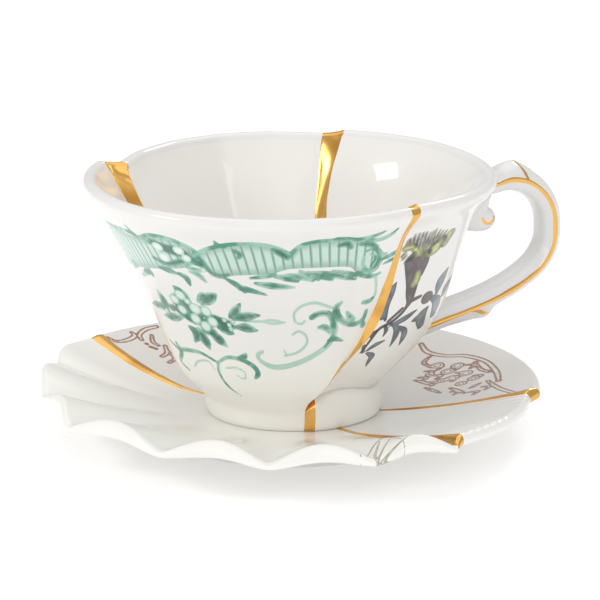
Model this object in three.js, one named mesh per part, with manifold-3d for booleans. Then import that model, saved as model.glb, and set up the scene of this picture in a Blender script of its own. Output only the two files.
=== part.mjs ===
// A porcelain tea cup with a strap handle, standing on its saucer. Both are cast to look like
// shards of different old services joined along gold seams: each shard has a profile of its
// own, and at every seam the surface steps from one to the next.
// Millimetres, +Z up. The cup's axis is the saucer's axis, and the handle points along +X.
// The origin is on the table, under the middle of the footprint.
import * as THREE from 'three';
import { mergeVertices } from 'three/addons/utils/BufferGeometryUtils.js';
import Module from 'manifold-3d';

const wasm = await Module();
wasm.setup();

// Cup
const cupHeight = 72.6;
const mouthRadius = 62.6;
const cupWall = 3.8;
const lipRadius = 2;
const cupFloor = 4.1;
const footRingRadius = 25;
const footRingWidth = 2.4;
const footRecess = 3.4;

// Handle of the cup
const handleReach = 88.9;
const strapWidth = 11;
const strapThickness = 7.4;
const handleTopDrop = 7;
const handleRise = 43.5;
const voluteWidth = 8.4;

// Saucer
const saucerRadius = 75;
const saucerWall = 3.8;
const wellHeight = 7.5;
const wellStep = 0.7;
const rimRise = 8.2;
const standRadius = 36.5;
const standWidth = 3.2;
const standRecess = 3.3;
const fluteDepth = 4.6;
const underDepth = 1.2;
const fluteReach = 3;

// Fits
const restGap = 0.3;
const wellMargin = 7.2;
const goldBead = 0.4;

const degree = Math.PI / 180;
const fullTurn = 360;
const mix = (a, b, t) => a + (b - a) * t;

// A smooth curve y(x) through a few points [x, y], flat past both ends.
function curveThrough(points) {
  const slopes = points.map((point, i) => {
    const before = points[Math.max(i - 1, 0)];
    const after = points[Math.min(i + 1, points.length - 1)];
    return (after[1] - before[1]) / (after[0] - before[0]);
  });
  return (x) => {
    if (x <= points[0][0]) return points[0][1];
    const i = points.findIndex((point) => point[0] >= x) - 1;
    if (i < 0) return points[points.length - 1][1];
    const [x0, y0] = points[i];
    const [x1, y1] = points[i + 1];
    const h = x1 - x0;
    const t = (x - x0) / h;
    const start = (1 + 2 * t) * (1 - t) ** 2 * y0 + t * (1 - t) ** 2 * h * slopes[i];
    const end = t * t * (3 - 2 * t) * y1 + t * t * (t - 1) * h * slopes[i + 1];
    return start + end;
  };
}

// A closed skin from rings of equal length: the first and last rings are single points.
function skinOf(rings) {
  const count = rings[1].length;
  const positions = [...rings[0], ...rings.slice(1, -1).flat(), ...rings.at(-1)].flat();
  const last = positions.length / 3 - 1;
  const faces = [];
  const at = (ring, i) => 1 + (ring - 1) * count + (i % count);
  for (let i = 0; i < count; i += 1) {
    faces.push(0, at(1, i + 1), at(1, i));
    faces.push(last, at(rings.length - 2, i), at(rings.length - 2, i + 1));
    for (let ring = 1; ring < rings.length - 2; ring += 1) {
      faces.push(at(ring, i), at(ring, i + 1), at(ring + 1, i + 1));
      faces.push(at(ring, i), at(ring + 1, i + 1), at(ring + 1, i));
    }
  }
  const geometry = new THREE.BufferGeometry();
  geometry.setAttribute('position', new THREE.Float32BufferAttribute(positions, 3));
  geometry.setIndex(faces);
  return geometry;
}

// Geometry to solid and back, for joins and cuts.
function solidOf(geometry) {
  const bare = new THREE.BufferGeometry();
  bare.setAttribute('position', geometry.getAttribute('position'));
  bare.setIndex(geometry.getIndex());
  const merged = mergeVertices(bare, 1e-4);
  const vertProperties = new Float32Array(merged.getAttribute('position').array);
  const triVerts = new Uint32Array(merged.getIndex().array);
  return new wasm.Manifold(new wasm.Mesh({ numProp: 3, vertProperties, triVerts }));
}

function geometryOf(solid) {
  const mesh = solid.getMesh();
  const geometry = new THREE.BufferGeometry();
  geometry.setAttribute('position', new THREE.Float32BufferAttribute(mesh.vertProperties, 3));
  geometry.setIndex(new THREE.Uint32BufferAttribute(mesh.triVerts, 1));
  return geometry;
}

// Columns of a body made of shards. Seams run from the middle (share 0) to the rim (share 1):
// angle(share) in degrees and width(share) in millimetres, measured at radius(share).
// Each column is either on a shard, with its place u across it, or on the gold between two.
function columnsOf(seams, shards) {
  const columns = [];
  shards.forEach((shard, i) => {
    const from = seams[i];
    const to = seams[(i + 1) % seams.length];
    for (let k = 0; k <= shard.steps; k += 1) {
      columns.push({ shard, from, to, u: shard.place(k / shard.steps) });
    }
    columns.push({ gold: true, seam: to, shard, next: shards[(i + 1) % shards.length] });
  });
  return columns;
}

const halfAngle = (seam, share, radius) => seam.width(share) / 2 / radius / degree;

function columnAngle(column, share, radius) {
  if (column.gold) return column.seam.angle(share);
  const start = column.from.angle(share) + halfAngle(column.from, share, radius);
  const end = column.to.angle(share) - halfAngle(column.to, share, radius);
  return mix(start, end < start ? end + fullTurn : end, column.u);
}

// Walls of the cup. Each wall curve gives the share of the way from the waist over the foot
// out to the mouth, for the share of the way up. The rim factor is the shard's own radius
// across its width, and the lift its own height.
const evenly = (t) => t;
const printShard = {
  steps: 22,
  place: evenly,
  waistRadius: 26.6,
  waistHeight: 6,
  footRoll: 0.6,
  panels: 0,
  wall: curveThrough([
    [0, 0], [0.056, 0.1], [0.135, 0.222], [0.31, 0.361], [0.52, 0.528], [0.7, 0.697],
    [0.88, 0.875], [1, 1],
  ]),
  rim: curveThrough([[0, 1.006], [0.25, 0.99], [0.5, 1.02], [0.75, 0.99], [1, 0.955]]),
  lift: curveThrough([[0, 0], [0.5, 0.2], [0.8, 0.3], [1, 0.9]]),
};
const sprigShard = {
  steps: 20,
  place: evenly,
  waistRadius: 24.9,
  waistHeight: 8.6,
  footRoll: 2.5,
  panels: 0,
  wall: curveThrough([
    [0, 0], [0.08, 0.15], [0.177, 0.309], [0.284, 0.448], [0.427, 0.579], [0.606, 0.672],
    [0.706, 0.725], [0.826, 0.795], [0.914, 0.875], [1, 1],
  ]),
  rim: curveThrough([[0, 0.955], [0.25, 0.975], [0.6, 0.98], [0.8, 1.005], [1, 1.01]]),
  lift: curveThrough([[0, 0.9], [0.4, 0.6], [1, 0.9]]),
};
const plainShard = {
  steps: 10,
  place: evenly,
  waistRadius: 25.8,
  waistHeight: 7,
  footRoll: 1,
  panels: 5,
  wall: curveThrough([[0, 0], [0.08, 0.14], [0.25, 0.36], [0.5, 0.58], [0.8, 0.82], [1, 1]]),
  rim: curveThrough([[0, 1], [0.3, 1.03], [0.65, 0.99], [1, 0.91]]),
  lift: curveThrough([[0, 0], [0.5, 0.1], [1, -0.3]]),
};

// Gold seams of the cup: front right, back and left.
const frontSeam = {
  angle: curveThrough([[0, -101.5], [0.12, -92.5], [0.3, -84], [0.6, -78], [0.85, -75], [1, -76]]),
  width: curveThrough([[0, 3], [0.12, 1], [0.45, 2.6], [0.8, 1.5], [1, 3]]),
};
const backSeam = {
  angle: curveThrough([[0, 48], [0.6, 54], [1, 55.5]]),
  width: curveThrough([[0, 2], [0.65, 3.8], [1, 6]]),
};
const leftSeam = {
  angle: curveThrough([[0, 112], [0.7, 127], [1, 134]]),
  width: curveThrough([[0, 2], [0.7, 2.8], [1, 4.2]]),
};
const cupColumns = columnsOf(
  [frontSeam, backSeam, leftSeam],
  [sprigShard, plainShard, printShard],
);

// Facets of a panelled shard: 1 on the creases, less in the middle of each panel.
const panelAngle = 15.6 * degree;
function panelFactor(shard, u) {
  if (!shard.panels) return 1;
  const inPanel = (u * shard.panels) % 1;
  return Math.cos(panelAngle / 2) / Math.cos((inPanel - 0.5) * panelAngle);
}

function wallPoint(shard, u, share) {
  const mouth = mouthRadius * shard.rim(u);
  const waist = shard.waistRadius;
  const radius = waist + (mouth - waist) * shard.wall(share) * panelFactor(shard, u);
  const lipHeight = cupHeight - lipRadius + shard.lift(u) * share;
  return [radius, mix(shard.waistHeight, lipHeight, share)];
}

// The wall curve moved inwards by a depth, square to the wall.
function wallInside(shard, u, share, depth) {
  const step = 0.02;
  const below = wallPoint(shard, u, Math.max(share - step, 0));
  const above = wallPoint(shard, u, Math.min(share + step, 1));
  const [dr, dz] = [above[0] - below[0], above[1] - below[1]];
  const length = Math.hypot(dr, dz);
  const [radius, height] = wallPoint(shard, u, share);
  return [radius - (depth * dz) / length, height + (depth * dr) / length];
}

// Stations of the cup's skin, from the middle of the underside round to the inside floor.
// Each has the seam share it follows and the point [radius, height] on a shard.
const wallShares = [0, 0.05, 0.11, 0.19, 0.3, 0.43, 0.56, 0.69, 0.81, 0.91, 1];
const insideShares = [0.93, 0.82, 0.68, 0.52, 0.38, 0.25, 0.15];
const floorShares = [0.8, 0.45];

function footPoint(shard, t) {
  const roll = shard.footRoll * Math.sqrt(Math.sin(Math.PI * t));
  const height = (shard.waistHeight * (1 - Math.cos(Math.PI * t))) / 2;
  return [mix(footRingRadius, shard.waistRadius, t) + roll, height];
}

function lipPoint(shard, u, turn) {
  const [radius, height] = wallPoint(shard, u, 1);
  const across = radius - lipRadius + lipRadius * Math.cos(turn * degree);
  return [across, height + lipRadius * Math.sin(turn * degree)];
}

function floorPoint(shard, u, t) {
  const [radius, height] = wallInside(shard, u, insideShares.at(-1), cupWall);
  const floorHeight = footRecess + cupFloor;
  return [radius * t, mix(floorHeight, height, t ** 3)];
}

const ringInner = footRingRadius - footRingWidth;
const cupStations = [
  { share: 0, at: () => [ringInner - 1, footRecess] },
  { share: 0, at: () => [ringInner, 0] },
  { share: 0, at: () => [footRingRadius, 0] },
  ...[0.15, 0.4, 0.65, 0.88].map((t) => ({ share: 0, at: (shard) => footPoint(shard, t) })),
  ...wallShares.map((share) => ({ share, at: (shard, u) => wallPoint(shard, u, share) })),
  ...[45, 90, 135, 180].map((turn) => ({
    share: 1,
    lip: Math.sin(turn * degree),
    at: (shard, u) => lipPoint(shard, u, turn),
  })),
  ...insideShares.map((share) => ({
    share,
    inside: true,
    at: (shard, u) => wallInside(shard, u, share, cupWall),
  })),
  ...floorShares.map((t) => ({ share: 0, inside: true, at: (s, u) => floorPoint(s, u, t) })),
];

// One point of a body: on its shard, or on the gold, halfway between the two edges and
// raised by the bead (dipped where it crosses a rim).
function pointOf(column, station) {
  if (!column.gold) {
    const [radius, height] = station.at(column.shard, column.u);
    const angle = columnAngle(column, station.share, radius) * degree;
    return [radius * Math.cos(angle), radius * Math.sin(angle), height];
  }
  const before = station.at(column.shard, 1);
  const after = station.at(column.next, 0);
  const bead = station.inside ? -goldBead : goldBead;
  const atFoot = station.share === 0 ? 0 : 1;
  const radius = (before[0] + after[0]) / 2 + bead * atFoot;
  const height = (before[1] + after[1]) / 2 - 2 * goldBead * (station.lip ?? 0);
  const angle = column.seam.angle(station.share) * degree;
  return [radius * Math.cos(angle), radius * Math.sin(angle), height];
}

function ringsOf(columns, stations, bottom, top) {
  const rings = stations.map((station) => columns.map((column) => pointOf(column, station)));
  return [[[0, 0, bottom]], ...rings, [[0, 0, top]]];
}

// Radius of the cup's outer wall at the handle, at a height above the cup's foot. The handle
// stands this far across the sprig shard.
const handlePlace = 0.58;
function wallRadiusAt(height) {
  const top = cupHeight - lipRadius;
  const bottom = sprigShard.waistHeight;
  return wallPoint(sprigShard, handlePlace, (height - bottom) / (top - bottom))[0];
}

// Handle: a strap swept along a loop in the XZ plane. The loop's points are shares of the
// way out from the lower joint to the reach and of the way up from it to the top.
const loopTop = cupHeight - handleTopDrop;
const loopBottom = loopTop - handleRise;
const loopLeft = wallRadiusAt(loopBottom);
const loopRight = handleReach - strapThickness / 2;
const rooting = cupWall;
const upperDip = 2.6;
const lowerDip = 1.6;
const loopPlace = ([out, up]) => [
  mix(loopLeft, loopRight, out),
  mix(loopBottom, loopTop, up),
];
const upperRoot = loopTop - upperDip;
const lowerRoot = loopBottom - lowerDip;
const loopPoints = [
  [wallRadiusAt(upperRoot) - rooting, upperRoot],
  ...[
    [0.45, 0.955], [0.57, 0.965], [0.685, 0.99], [0.81, 0.96], [0.918, 0.872], [0.98, 0.76],
    [1, 0.625], [0.985, 0.485], [0.915, 0.362], [0.79, 0.262], [0.625, 0.176],
    [0.434, 0.108], [0.217, 0.048], [0.06, 0.005],
  ].map(loopPlace),
  [wallRadiusAt(lowerRoot) - rooting, lowerRoot],
];
const loop = new THREE.CatmullRomCurve3(
  loopPoints.map(([x, z]) => new THREE.Vector3(x, 0, z)),
);

// Across the strap: widest on a ridge along each side, with a round back outside the ridges
// and a narrower, flatter inner side. Places are shares of the half width and half thickness.
const strapSection = [
  [1, 0.1], [0.88, 0.52], [0.55, 0.86], [0, 1], [-0.55, 0.86], [-0.88, 0.52], [-1, 0.1],
  [-0.86, -0.42], [-0.62, -0.84], [0, -1], [0.62, -0.84], [0.86, -0.42],
];

// Thickness and width along the strap: thin at the upper joint, with a thumb rise that ends
// in a crease, and a spur under the lower end.
const thicknessAlong = curveThrough([
  [0, 0.9], [0.12, 0.92], [0.2, 1.08], [0.32, 1], [0.7, 0.98], [1, 1.15],
]);
const widthAlong = curveThrough([[0, 1.25], [0.15, 1.05], [0.6, 0.98], [0.9, 1.05], [1, 1.25]]);
const spurAlong = curveThrough([
  [0.68, 0], [0.77, 0.1], [0.79, 0.75], [0.83, 0.45], [0.93, 0.05],
]);

function strapRing(t) {
  const centre = loop.getPointAt(t);
  const tangent = loop.getTangentAt(t);
  const outward = new THREE.Vector3(-tangent.z, 0, tangent.x);
  const halfWidth = (strapWidth / 2) * widthAlong(t);
  const halfThickness = (strapThickness / 2) * thicknessAlong(t);
  return strapSection.map(([across, out]) => {
    const spur = out > 0.6 ? spurAlong(t) * (1 - Math.abs(across)) : 0;
    const point = centre.clone().addScaledVector(outward, halfThickness * (out + spur));
    return [point.x, across * halfWidth, point.z];
  });
}

function strap() {
  const steps = 36;
  const rings = Array.from({ length: steps + 1 }, (_, i) => strapRing(i / steps));
  const middle = (ring) => ring
    .reduce((sum, point) => sum.map((value, i) => value + point[i] / ring.length), [0, 0, 0]);
  return skinOf([[middle(rings[0])], ...rings, [middle(rings.at(-1))]]);
}

// Volute: a drop-shaped scroll that hangs under the upper joint, against the wall. Its
// outline is drawn in the XZ plane and shrinks a little towards both faces. Places are
// measured out from the neck, where the wall is, and down from the top of the loop.
const voluteNeck = 7;
const voluteTop = 4;
const voluteReach = 10;
const voluteDepth = 16.2;
function volute() {
  const neck = wallRadiusAt(loopTop - voluteNeck);
  const lowest = loopTop - voluteDepth;
  const shape = new THREE.Shape();
  shape.moveTo(neck - rooting, loopTop - voluteTop);
  shape.lineTo(neck + voluteReach, loopTop - voluteTop + 1);
  shape.quadraticCurveTo(neck + 8, loopTop - 7, neck + 7.6, loopTop - 9);
  shape.bezierCurveTo(neck + 9.6, loopTop - 12, neck + 9, lowest, neck + 4.8, lowest);
  shape.quadraticCurveTo(neck, lowest, neck - rooting - 1, loopTop - 12.5);
  const outline = shape.getPoints(5);
  const centre = new THREE.Vector2(neck + 4.5, loopTop - 11);
  const ringAt = ([share, size]) => outline.map((point) => {
    const place = centre.clone().lerp(point, size);
    return [place.x, (share * voluteWidth) / 2, place.y];
  });
  const rings = [[-1, 0.78], [-0.72, 1], [0.72, 1], [1, 0.78]].map(ringAt);
  const poleAt = (share) => [centre.x, (share * voluteWidth) / 2, centre.y];
  return skinOf([[poleAt(-1)], ...rings, [poleAt(1)]]);
}

// A solid with its skin inside the cup's wall: what is within it is cut off the handle.
function wallCore() {
  const shares = [0.05, 0.15, 0.3, 0.5, 0.7, 0.85, 1];
  const stations = shares.map((share) => ({
    share,
    at: (shard, u) => wallInside(shard, u, share, cupWall * 0.6),
  }));
  const [, low] = wallInside(printShard, 0, shares[0], cupWall);
  return skinOf(ringsOf(cupColumns, stations, low, cupHeight + lipRadius));
}

function cup() {
  const bowl = skinOf(ringsOf(cupColumns, cupStations, footRecess, footRecess + cupFloor));
  const handle = solidOf(strap()).add(solidOf(volute())).subtract(solidOf(wallCore()));
  const body = new THREE.Mesh(
    geometryOf(solidOf(bowl).add(handle)),
    new THREE.MeshStandardMaterial({ color: 0xf2efe9, roughness: 0.12, metalness: 0 }),
  );
  body.name = 'cup';
  body.position.z = wellHeight + restGap;
  return body;
}

// Saucer: a shell-fluted shard in front, a narrow plain one and a smooth one.
// The flutes spread like a shell's from a point beside the middle.
const shellPoint = [27.6, -11.7];

// Angle seen from the shell's point of a place on the rim, and the other way round.
function rimAngle(shellAngle) {
  const [cx, cy] = [Math.cos(shellAngle * degree), Math.sin(shellAngle * degree)];
  const along = shellPoint[0] * cx + shellPoint[1] * cy;
  const inside = shellPoint[0] ** 2 + shellPoint[1] ** 2 - saucerRadius ** 2;
  const reach = -along + Math.sqrt(along * along - inside);
  const angle = Math.atan2(shellPoint[1] + reach * cy, shellPoint[0] + reach * cx) / degree;
  return angle < 0 ? angle + fullTurn : angle;
}

const backGold = {
  angle: curveThrough([[0, 130], [0.3, 128], [1, 122]]),
  width: curveThrough([[0, 1.2], [0.3, 2.8], [1, 4]]),
};
const rightGold = {
  angle: curveThrough([[0, -29], [0.5, -32], [1, -32]]),
  width: curveThrough([[0, 1.6], [0.8, 1.8], [1, 4.5]]),
};
const frontGold = {
  angle: curveThrough([[0, -81], [0.5, -77], [1, -73]]),
  width: curveThrough([[0, 1.8], [0.8, 2.2], [1, 4.5]]),
};

const shellStart = 130.3;
const shellTurn = 134.7;
const shellAngleAt = (t) => shellStart + shellTurn * t;
const shellU = (t) => {
  const [start, end] = [rimAngle(shellAngleAt(0)), rimAngle(shellAngleAt(1))];
  return (rimAngle(shellAngleAt(t)) - start) / (end - start);
};

// Flutes across the shell. Their turns are whole on each ridge and end in a half in each
// trough, for the angle seen from the shell's point: they are narrower beside the back seam.
const fluteTurns = curveThrough([
  [130.3, -1.5], [146, -0.5], [162.5, 0.5], [178.5, 1.5], [201, 2.5], [221.5, 3.5],
  [243.1, 4.5], [265, 5.5],
]);

// Height of the flutes: 1 on the broad ridges, -1 in the sharper troughs, with no flute at the
// seam. Their outline swings the other way, and hardly at all on the lobes beside the seam.
const fluteAmount = curveThrough([[130.3, 0], [135, 0.1], [142, 0.5], [150, 0.8], [180, 1]]);
const scallopAmount = curveThrough([
  [130.3, 0], [140, -0.2], [146, -0.5], [155, -0.3], [165, 0.5], [178, 1],
]);
const troughRound = 0.12;
const fluteWave = (t) => {
  const angle = shellAngleAt(t);
  const arch = Math.hypot(Math.cos(Math.PI * fluteTurns(angle)), troughRound) - troughRound;
  const height = arch / (Math.hypot(1, troughRound) - troughRound);
  return 1 - 2 * (1 - height) * fluteAmount(angle);
};
const fluteScallop = (t) => {
  const angle = shellAngleAt(t);
  return Math.cos(2 * Math.PI * fluteTurns(angle)) * scallopAmount(angle);
};

// The shell stands highest beside the seam at its back, and its outline swells in front.
const shellLift = curveThrough([
  [0, -0.3], [0.07, 1], [0.13, 1.9], [0.19, 1.8], [0.27, 0.8], [0.35, -0.1], [0.57, 0],
  [0.75, -0.7], [1, -0.4],
]);
const shellSwell = curveThrough([
  [0, 2.2], [0.06, 2], [0.12, 0.3], [0.19, 0.6], [0.25, 0.5], [0.3, 0.2], [0.42, 0.1],
  [0.57, 0.4], [0.75, 1], [1, 0.8],
]);
const narrowReach = curveThrough([[0, -0.4], [0.5, -0.8], [1, -2.4]]);
const shellShard = {
  steps: 44,
  place: shellU,
  wave: fluteWave,
  scallop: fluteScallop,
  rise: (u) => rimRise + shellLift(u),
  reach: (u) => saucerRadius + shellSwell(u),
};
const narrowShard = {
  steps: 8,
  place: evenly,
  wave: () => 0,
  scallop: () => 0,
  rise: () => rimRise - 0.6,
  reach: (u) => saucerRadius + narrowReach(u),
};
const smoothShard = {
  steps: 26,
  place: evenly,
  wave: () => 0,
  scallop: () => 0,
  rise: (u) => rimRise + 0.3 + 2.2 * u * u,
  reach: (u) => saucerRadius + 0.8 * u,
};
const saucerColumns = columnsOf(
  [rightGold, backGold, frontGold],
  [smoothShard, shellShard, narrowShard],
);
saucerColumns.forEach((column) => {
  if (column.gold) return;
  const own = saucerColumns.filter((other) => other.shard === column.shard && !other.gold);
  column.t = own.indexOf(column) / column.shard.steps;
});

// Radius and height of the dish for a share of the way from the well to the rim. The flutes
// are deep on top and shallow underneath, so the rim is thick on the ridges.
const wellRadius = footRingRadius + wellMargin;
function dishPoint(shard, u, t, share, depth, below) {
  const fade = share ** 1.6 / 2;
  const radius = mix(wellRadius, shard.reach(u) - saucerWall / 2, share);
  const height = wellHeight + wellStep + shard.rise(u) * share ** 1.25;
  return [
    radius - fade * fluteReach * shard.scallop(t),
    height - below + fade * depth * shard.wave(t),
  ];
}
const dishTop = (shard, u, t, share) => dishPoint(shard, u, t, share, fluteDepth, 0);
const dishUnder = (shard, u, t, share) => dishPoint(shard, u, t, share, underDepth, saucerWall);

// Round the rim: half an oval from the underside to the top.
function rimPoint(shard, u, t, turn) {
  const [radius, high] = dishTop(shard, u, t, 1);
  const [, low] = dishUnder(shard, u, t, 1);
  return [
    radius + (saucerWall / 2) * Math.cos(turn * degree),
    mix(low, high, (1 + Math.sin(turn * degree)) / 2),
  ];
}

const standInner = standRadius - standWidth;
const saucerStations = [
  { share: 0, at: () => [standInner - 1, standRecess] },
  { share: 0, at: () => [standInner, 0] },
  { share: 0, at: () => [standRadius, 0] },
  { share: 0.05, at: () => [standRadius + 1, standRecess] },
  ...[0.25, 0.45, 0.65, 0.83, 1].map((share) => ({
    share,
    at: (shard, u, t) => dishUnder(shard, u, t, share),
  })),
  ...[-45, 0, 45].map((turn) => ({
    share: 1,
    lip: 1,
    at: (shard, u, t) => rimPoint(shard, u, t, turn),
  })),
  ...[1, 0.83, 0.65, 0.45, 0.25, 0.1, 0].map((share) => ({
    share,
    top: 1,
    at: (shard, u, t) => dishTop(shard, u, t, share),
  })),
  { share: 0, at: () => [wellRadius - 1.5, wellHeight] },
  { share: 0, at: () => [wellRadius * 0.5, wellHeight] },
];

function saucerPoint(column, station) {
  if (!column.gold) {
    const [radius, height] = station.at(column.shard, column.u, column.t);
    const angle = columnAngle(column, station.share, radius) * degree;
    return [radius * Math.cos(angle), radius * Math.sin(angle), height];
  }
  const before = station.at(column.shard, 1, 1);
  const after = station.at(column.next, 0, 0);
  const radius = (before[0] + after[0]) / 2 - goldBead * (station.lip ?? 0);
  const height = (before[1] + after[1]) / 2 + goldBead * (station.top ?? 0);
  const angle = column.seam.angle(station.share) * degree;
  return [radius * Math.cos(angle), radius * Math.sin(angle), height];
}

function saucer() {
  const rings = saucerStations
    .map((station) => saucerColumns.map((column) => saucerPoint(column, station)));
  const skin = skinOf([[[0, 0, standRecess]], ...rings, [[0, 0, wellHeight]]]);
  const body = new THREE.Mesh(
    geometryOf(solidOf(skin)),
    new THREE.MeshStandardMaterial({ color: 0xf4f2ee, roughness: 0.12, metalness: 0 }),
  );
  body.name = 'saucer';
  return body;
}

// The pair is set down with the middle of its footprint over the origin.
const pair = new THREE.Group();
pair.add(cup(), saucer());
const footprint = new THREE.Box3().setFromObject(pair, true);
const middle = footprint.getCenter(new THREE.Vector3());
pair.position.set(-middle.x, -middle.y, 0);

const object = new THREE.Group();
object.add(pair);
export default object;
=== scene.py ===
# %% [markdown]
# # A cup and saucer of joined shards
#
# The real pair is glazed porcelain. It looks as if shards of several old services had been
# joined with gold, but each body is cast in one piece: the seams, the steps between the shards
# and their different profiles are form, and the gold is a lustre painted on afterwards.
#
# The lesson goes the way the factory goes: first the two bodies, then the handle, then glaze,
# prints and gold, and at last the table, the light and the camera.
#
# Everything is in metres and stands where the CAD frame says.

# %% The frame
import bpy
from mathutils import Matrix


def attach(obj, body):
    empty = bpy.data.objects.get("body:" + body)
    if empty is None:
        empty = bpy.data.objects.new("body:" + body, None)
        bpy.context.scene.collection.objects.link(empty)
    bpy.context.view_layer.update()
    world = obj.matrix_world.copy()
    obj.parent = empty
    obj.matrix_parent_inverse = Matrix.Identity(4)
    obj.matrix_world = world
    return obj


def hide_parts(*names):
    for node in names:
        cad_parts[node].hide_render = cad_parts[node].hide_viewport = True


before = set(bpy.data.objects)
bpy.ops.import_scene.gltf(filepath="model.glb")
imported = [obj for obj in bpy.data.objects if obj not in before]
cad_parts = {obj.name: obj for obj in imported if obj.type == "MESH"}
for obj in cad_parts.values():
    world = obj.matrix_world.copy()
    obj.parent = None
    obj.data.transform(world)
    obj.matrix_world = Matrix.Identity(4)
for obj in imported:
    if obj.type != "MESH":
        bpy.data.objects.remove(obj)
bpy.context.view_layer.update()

# %% Modules and units
import math
from types import SimpleNamespace

import bpy
import numpy as np
from mathutils import Vector

mm = 0.001
degree = math.pi / 180
print("Blender", bpy.app.version_string)

# %% [markdown]
# ## Where the axis is
#
# Cup and saucer share one upright axis. The saucer stands on a ring, so the lowest corners of
# its CAD node lie on circles round that axis. A circle through such corners is three unknowns,
# and least squares finds them all at once: no place has to be copied by hand.

# %% The shared axis
corners = np.array([corner.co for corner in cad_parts["saucer"].data.vertices]) / mm
ring = corners[corners[:, 2] < 0.01][:, :2]
rough = (ring.min(0) + ring.max(0)) / 2
reach = np.linalg.norm(ring - rough, axis=1)
ring = ring[reach > reach.max() - 1]
unknowns = np.column_stack([2 * ring, np.ones(len(ring))])
axis_x, axis_y, _ = np.linalg.lstsq(unknowns, (ring**2).sum(1), rcond=None)[0]
print(f"axis at {axis_x:.2f}, {axis_y:.2f} mm")

# %% [markdown]
# ## Small tools for curves
#
# A potter's profile is a few points with a smooth line through them. `curve_through` makes such
# a line: between two points it is a cubic whose slopes come from the neighbours, the same rule
# that an automatic Bezier handle follows. Past both ends it stays level.

# %% Curves through points
def mix(a, b, t):
    return a + (b - a) * t


def curve_through(*points):
    xs, ys = np.array(points, float).T
    before = np.maximum(np.arange(len(xs)) - 1, 0)
    after = np.minimum(np.arange(len(xs)) + 1, len(xs) - 1)
    slopes = (ys[after] - ys[before]) / (xs[after] - xs[before])

    def curve(x):
        x = np.clip(x, xs[0], xs[-1])
        i = np.clip(np.searchsorted(xs, x) - 1, 0, len(xs) - 2)
        h = xs[i + 1] - xs[i]
        t = (x - xs[i]) / h
        start = (1 + 2 * t) * (1 - t) ** 2 * ys[i] + t * (1 - t) ** 2 * h * slopes[i]
        end = t * t * (3 - 2 * t) * ys[i + 1] + t * t * (t - 1) * h * slopes[i + 1]
        return start + end

    return curve


def level(value):
    return lambda u: value + 0 * u


print("halfway up a line through 0, 1 and 0:", round(float(curve_through((0, 0), (1, 1), (2, 0))(0.5)), 3))

# %% [markdown]
# ## How a skin is made
#
# Every body here is a tube: a profile that goes round the axis, or a section that goes along
# the handle. By hand one would add a grid and roll it up, so the tool does that. It adds a grid
# with one row for each station of the profile and one column for each place round the axis,
# moves its corners, and merges the two edges that meet. Where a whole row falls into one point
# the merge closes the pole.
#
# A profile that changes all the way round can't be spun or lathed, which is why the corners are
# placed by formula and not by the Spin tool.
#
# The finishes get their names and numbers here and their nodes later. A face points at its
# finish by number, and a shard has the number of its own finish.

# %% Names of the finishes
def finishes_named(*names):
    return [bpy.data.materials.get(name) or bpy.data.materials.new(name) for name in names]


cup_finishes = finishes_named("sprig_glaze", "plain_glaze", "garland_glaze", "seam_gold",
                              "inner_glaze", "handle_glaze", "volute_glaze")
sprig_zone, plain_zone, print_zone, gold_zone, inside_zone, handle_zone, volute_zone = range(7)
saucer_finishes = finishes_named("scroll_glaze", "shell_glaze", "narrow_glaze", "seam_gold",
                                 "under_glaze")
smooth_zone, shell_zone, narrow_zone, saucer_gold_zone, under_zone = range(5)
print(len(cup_finishes), "finishes on the cup and", len(saucer_finishes), "on the saucer")

# %% A grid wrapped into a closed skin
def deselect():
    bpy.ops.object.select_all(action="DESELECT")


def make_active(piece):
    deselect()
    piece.select_set(True)
    bpy.context.view_layer.objects.active = piece


def wrapped(name, finishes, places, zones, flat=None, fields=None):
    """A skin through the places, rows x columns x 3 in mm, that closes round the columns.

    Zones give the finish of each face, flat is the map in mm, and fields are values for each place.
    """
    rows, columns = places.shape[:2]
    deselect()
    bpy.ops.mesh.primitive_grid_add(x_subdivisions=columns, y_subdivisions=rows - 1, size=1)
    piece = bpy.context.object
    piece.name = piece.data.name = name
    mesh = piece.data
    for finish in finishes:
        mesh.materials.append(finish)
    sheet = np.concatenate([places, places[:, :1]], axis=1)
    mesh.vertices.foreach_set("co", (sheet * mm).astype(np.float32).ravel())
    mesh.polygons.foreach_set("material_index", zones.astype(np.int32).ravel())
    if flat is not None:
        corner = np.zeros(len(mesh.loops), np.int32)
        mesh.loops.foreach_get("vertex_index", corner)
        mesh.uv_layers[0].name = "print"
        mesh.uv_layers[0].data.foreach_set("uv", flat.reshape(-1, 2)[corner].astype(np.float32).ravel())
    for field, values in (fields or {}).items():
        sheet = np.concatenate([values, values[:, :1]], axis=1)
        layer = mesh.attributes.new(field, "FLOAT", "POINT")
        layer.data.foreach_set("value", sheet.astype(np.float32).ravel())
    bpy.ops.object.mode_set(mode="EDIT")
    bpy.ops.mesh.select_all(action="SELECT")
    bpy.ops.mesh.remove_doubles(threshold=0.002 * mm)
    bpy.ops.mesh.normals_make_consistent(inside=False)
    bpy.ops.mesh.faces_shade_smooth()
    bpy.ops.object.mode_set(mode="OBJECT")
    print(name, len(mesh.polygons), "faces")
    return piece

# %% [markdown]
# ## The cup's measures
#
# The three shards of the cup have a wall curve each: share of the way out from the waist above
# the foot to the mouth, for the share of the way up. One shard is printed green, one carries a
# botanical spray, and the third is bare and faceted, with five flat panels.
#
# `u` runs from 0 to 1 round a shard, and its steps are small where a print needs fine edges.
# `rim` makes the mouth a little out of round, `lift` raises the rim, and `waist_lift` raises the
# crease above the foot.

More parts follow.
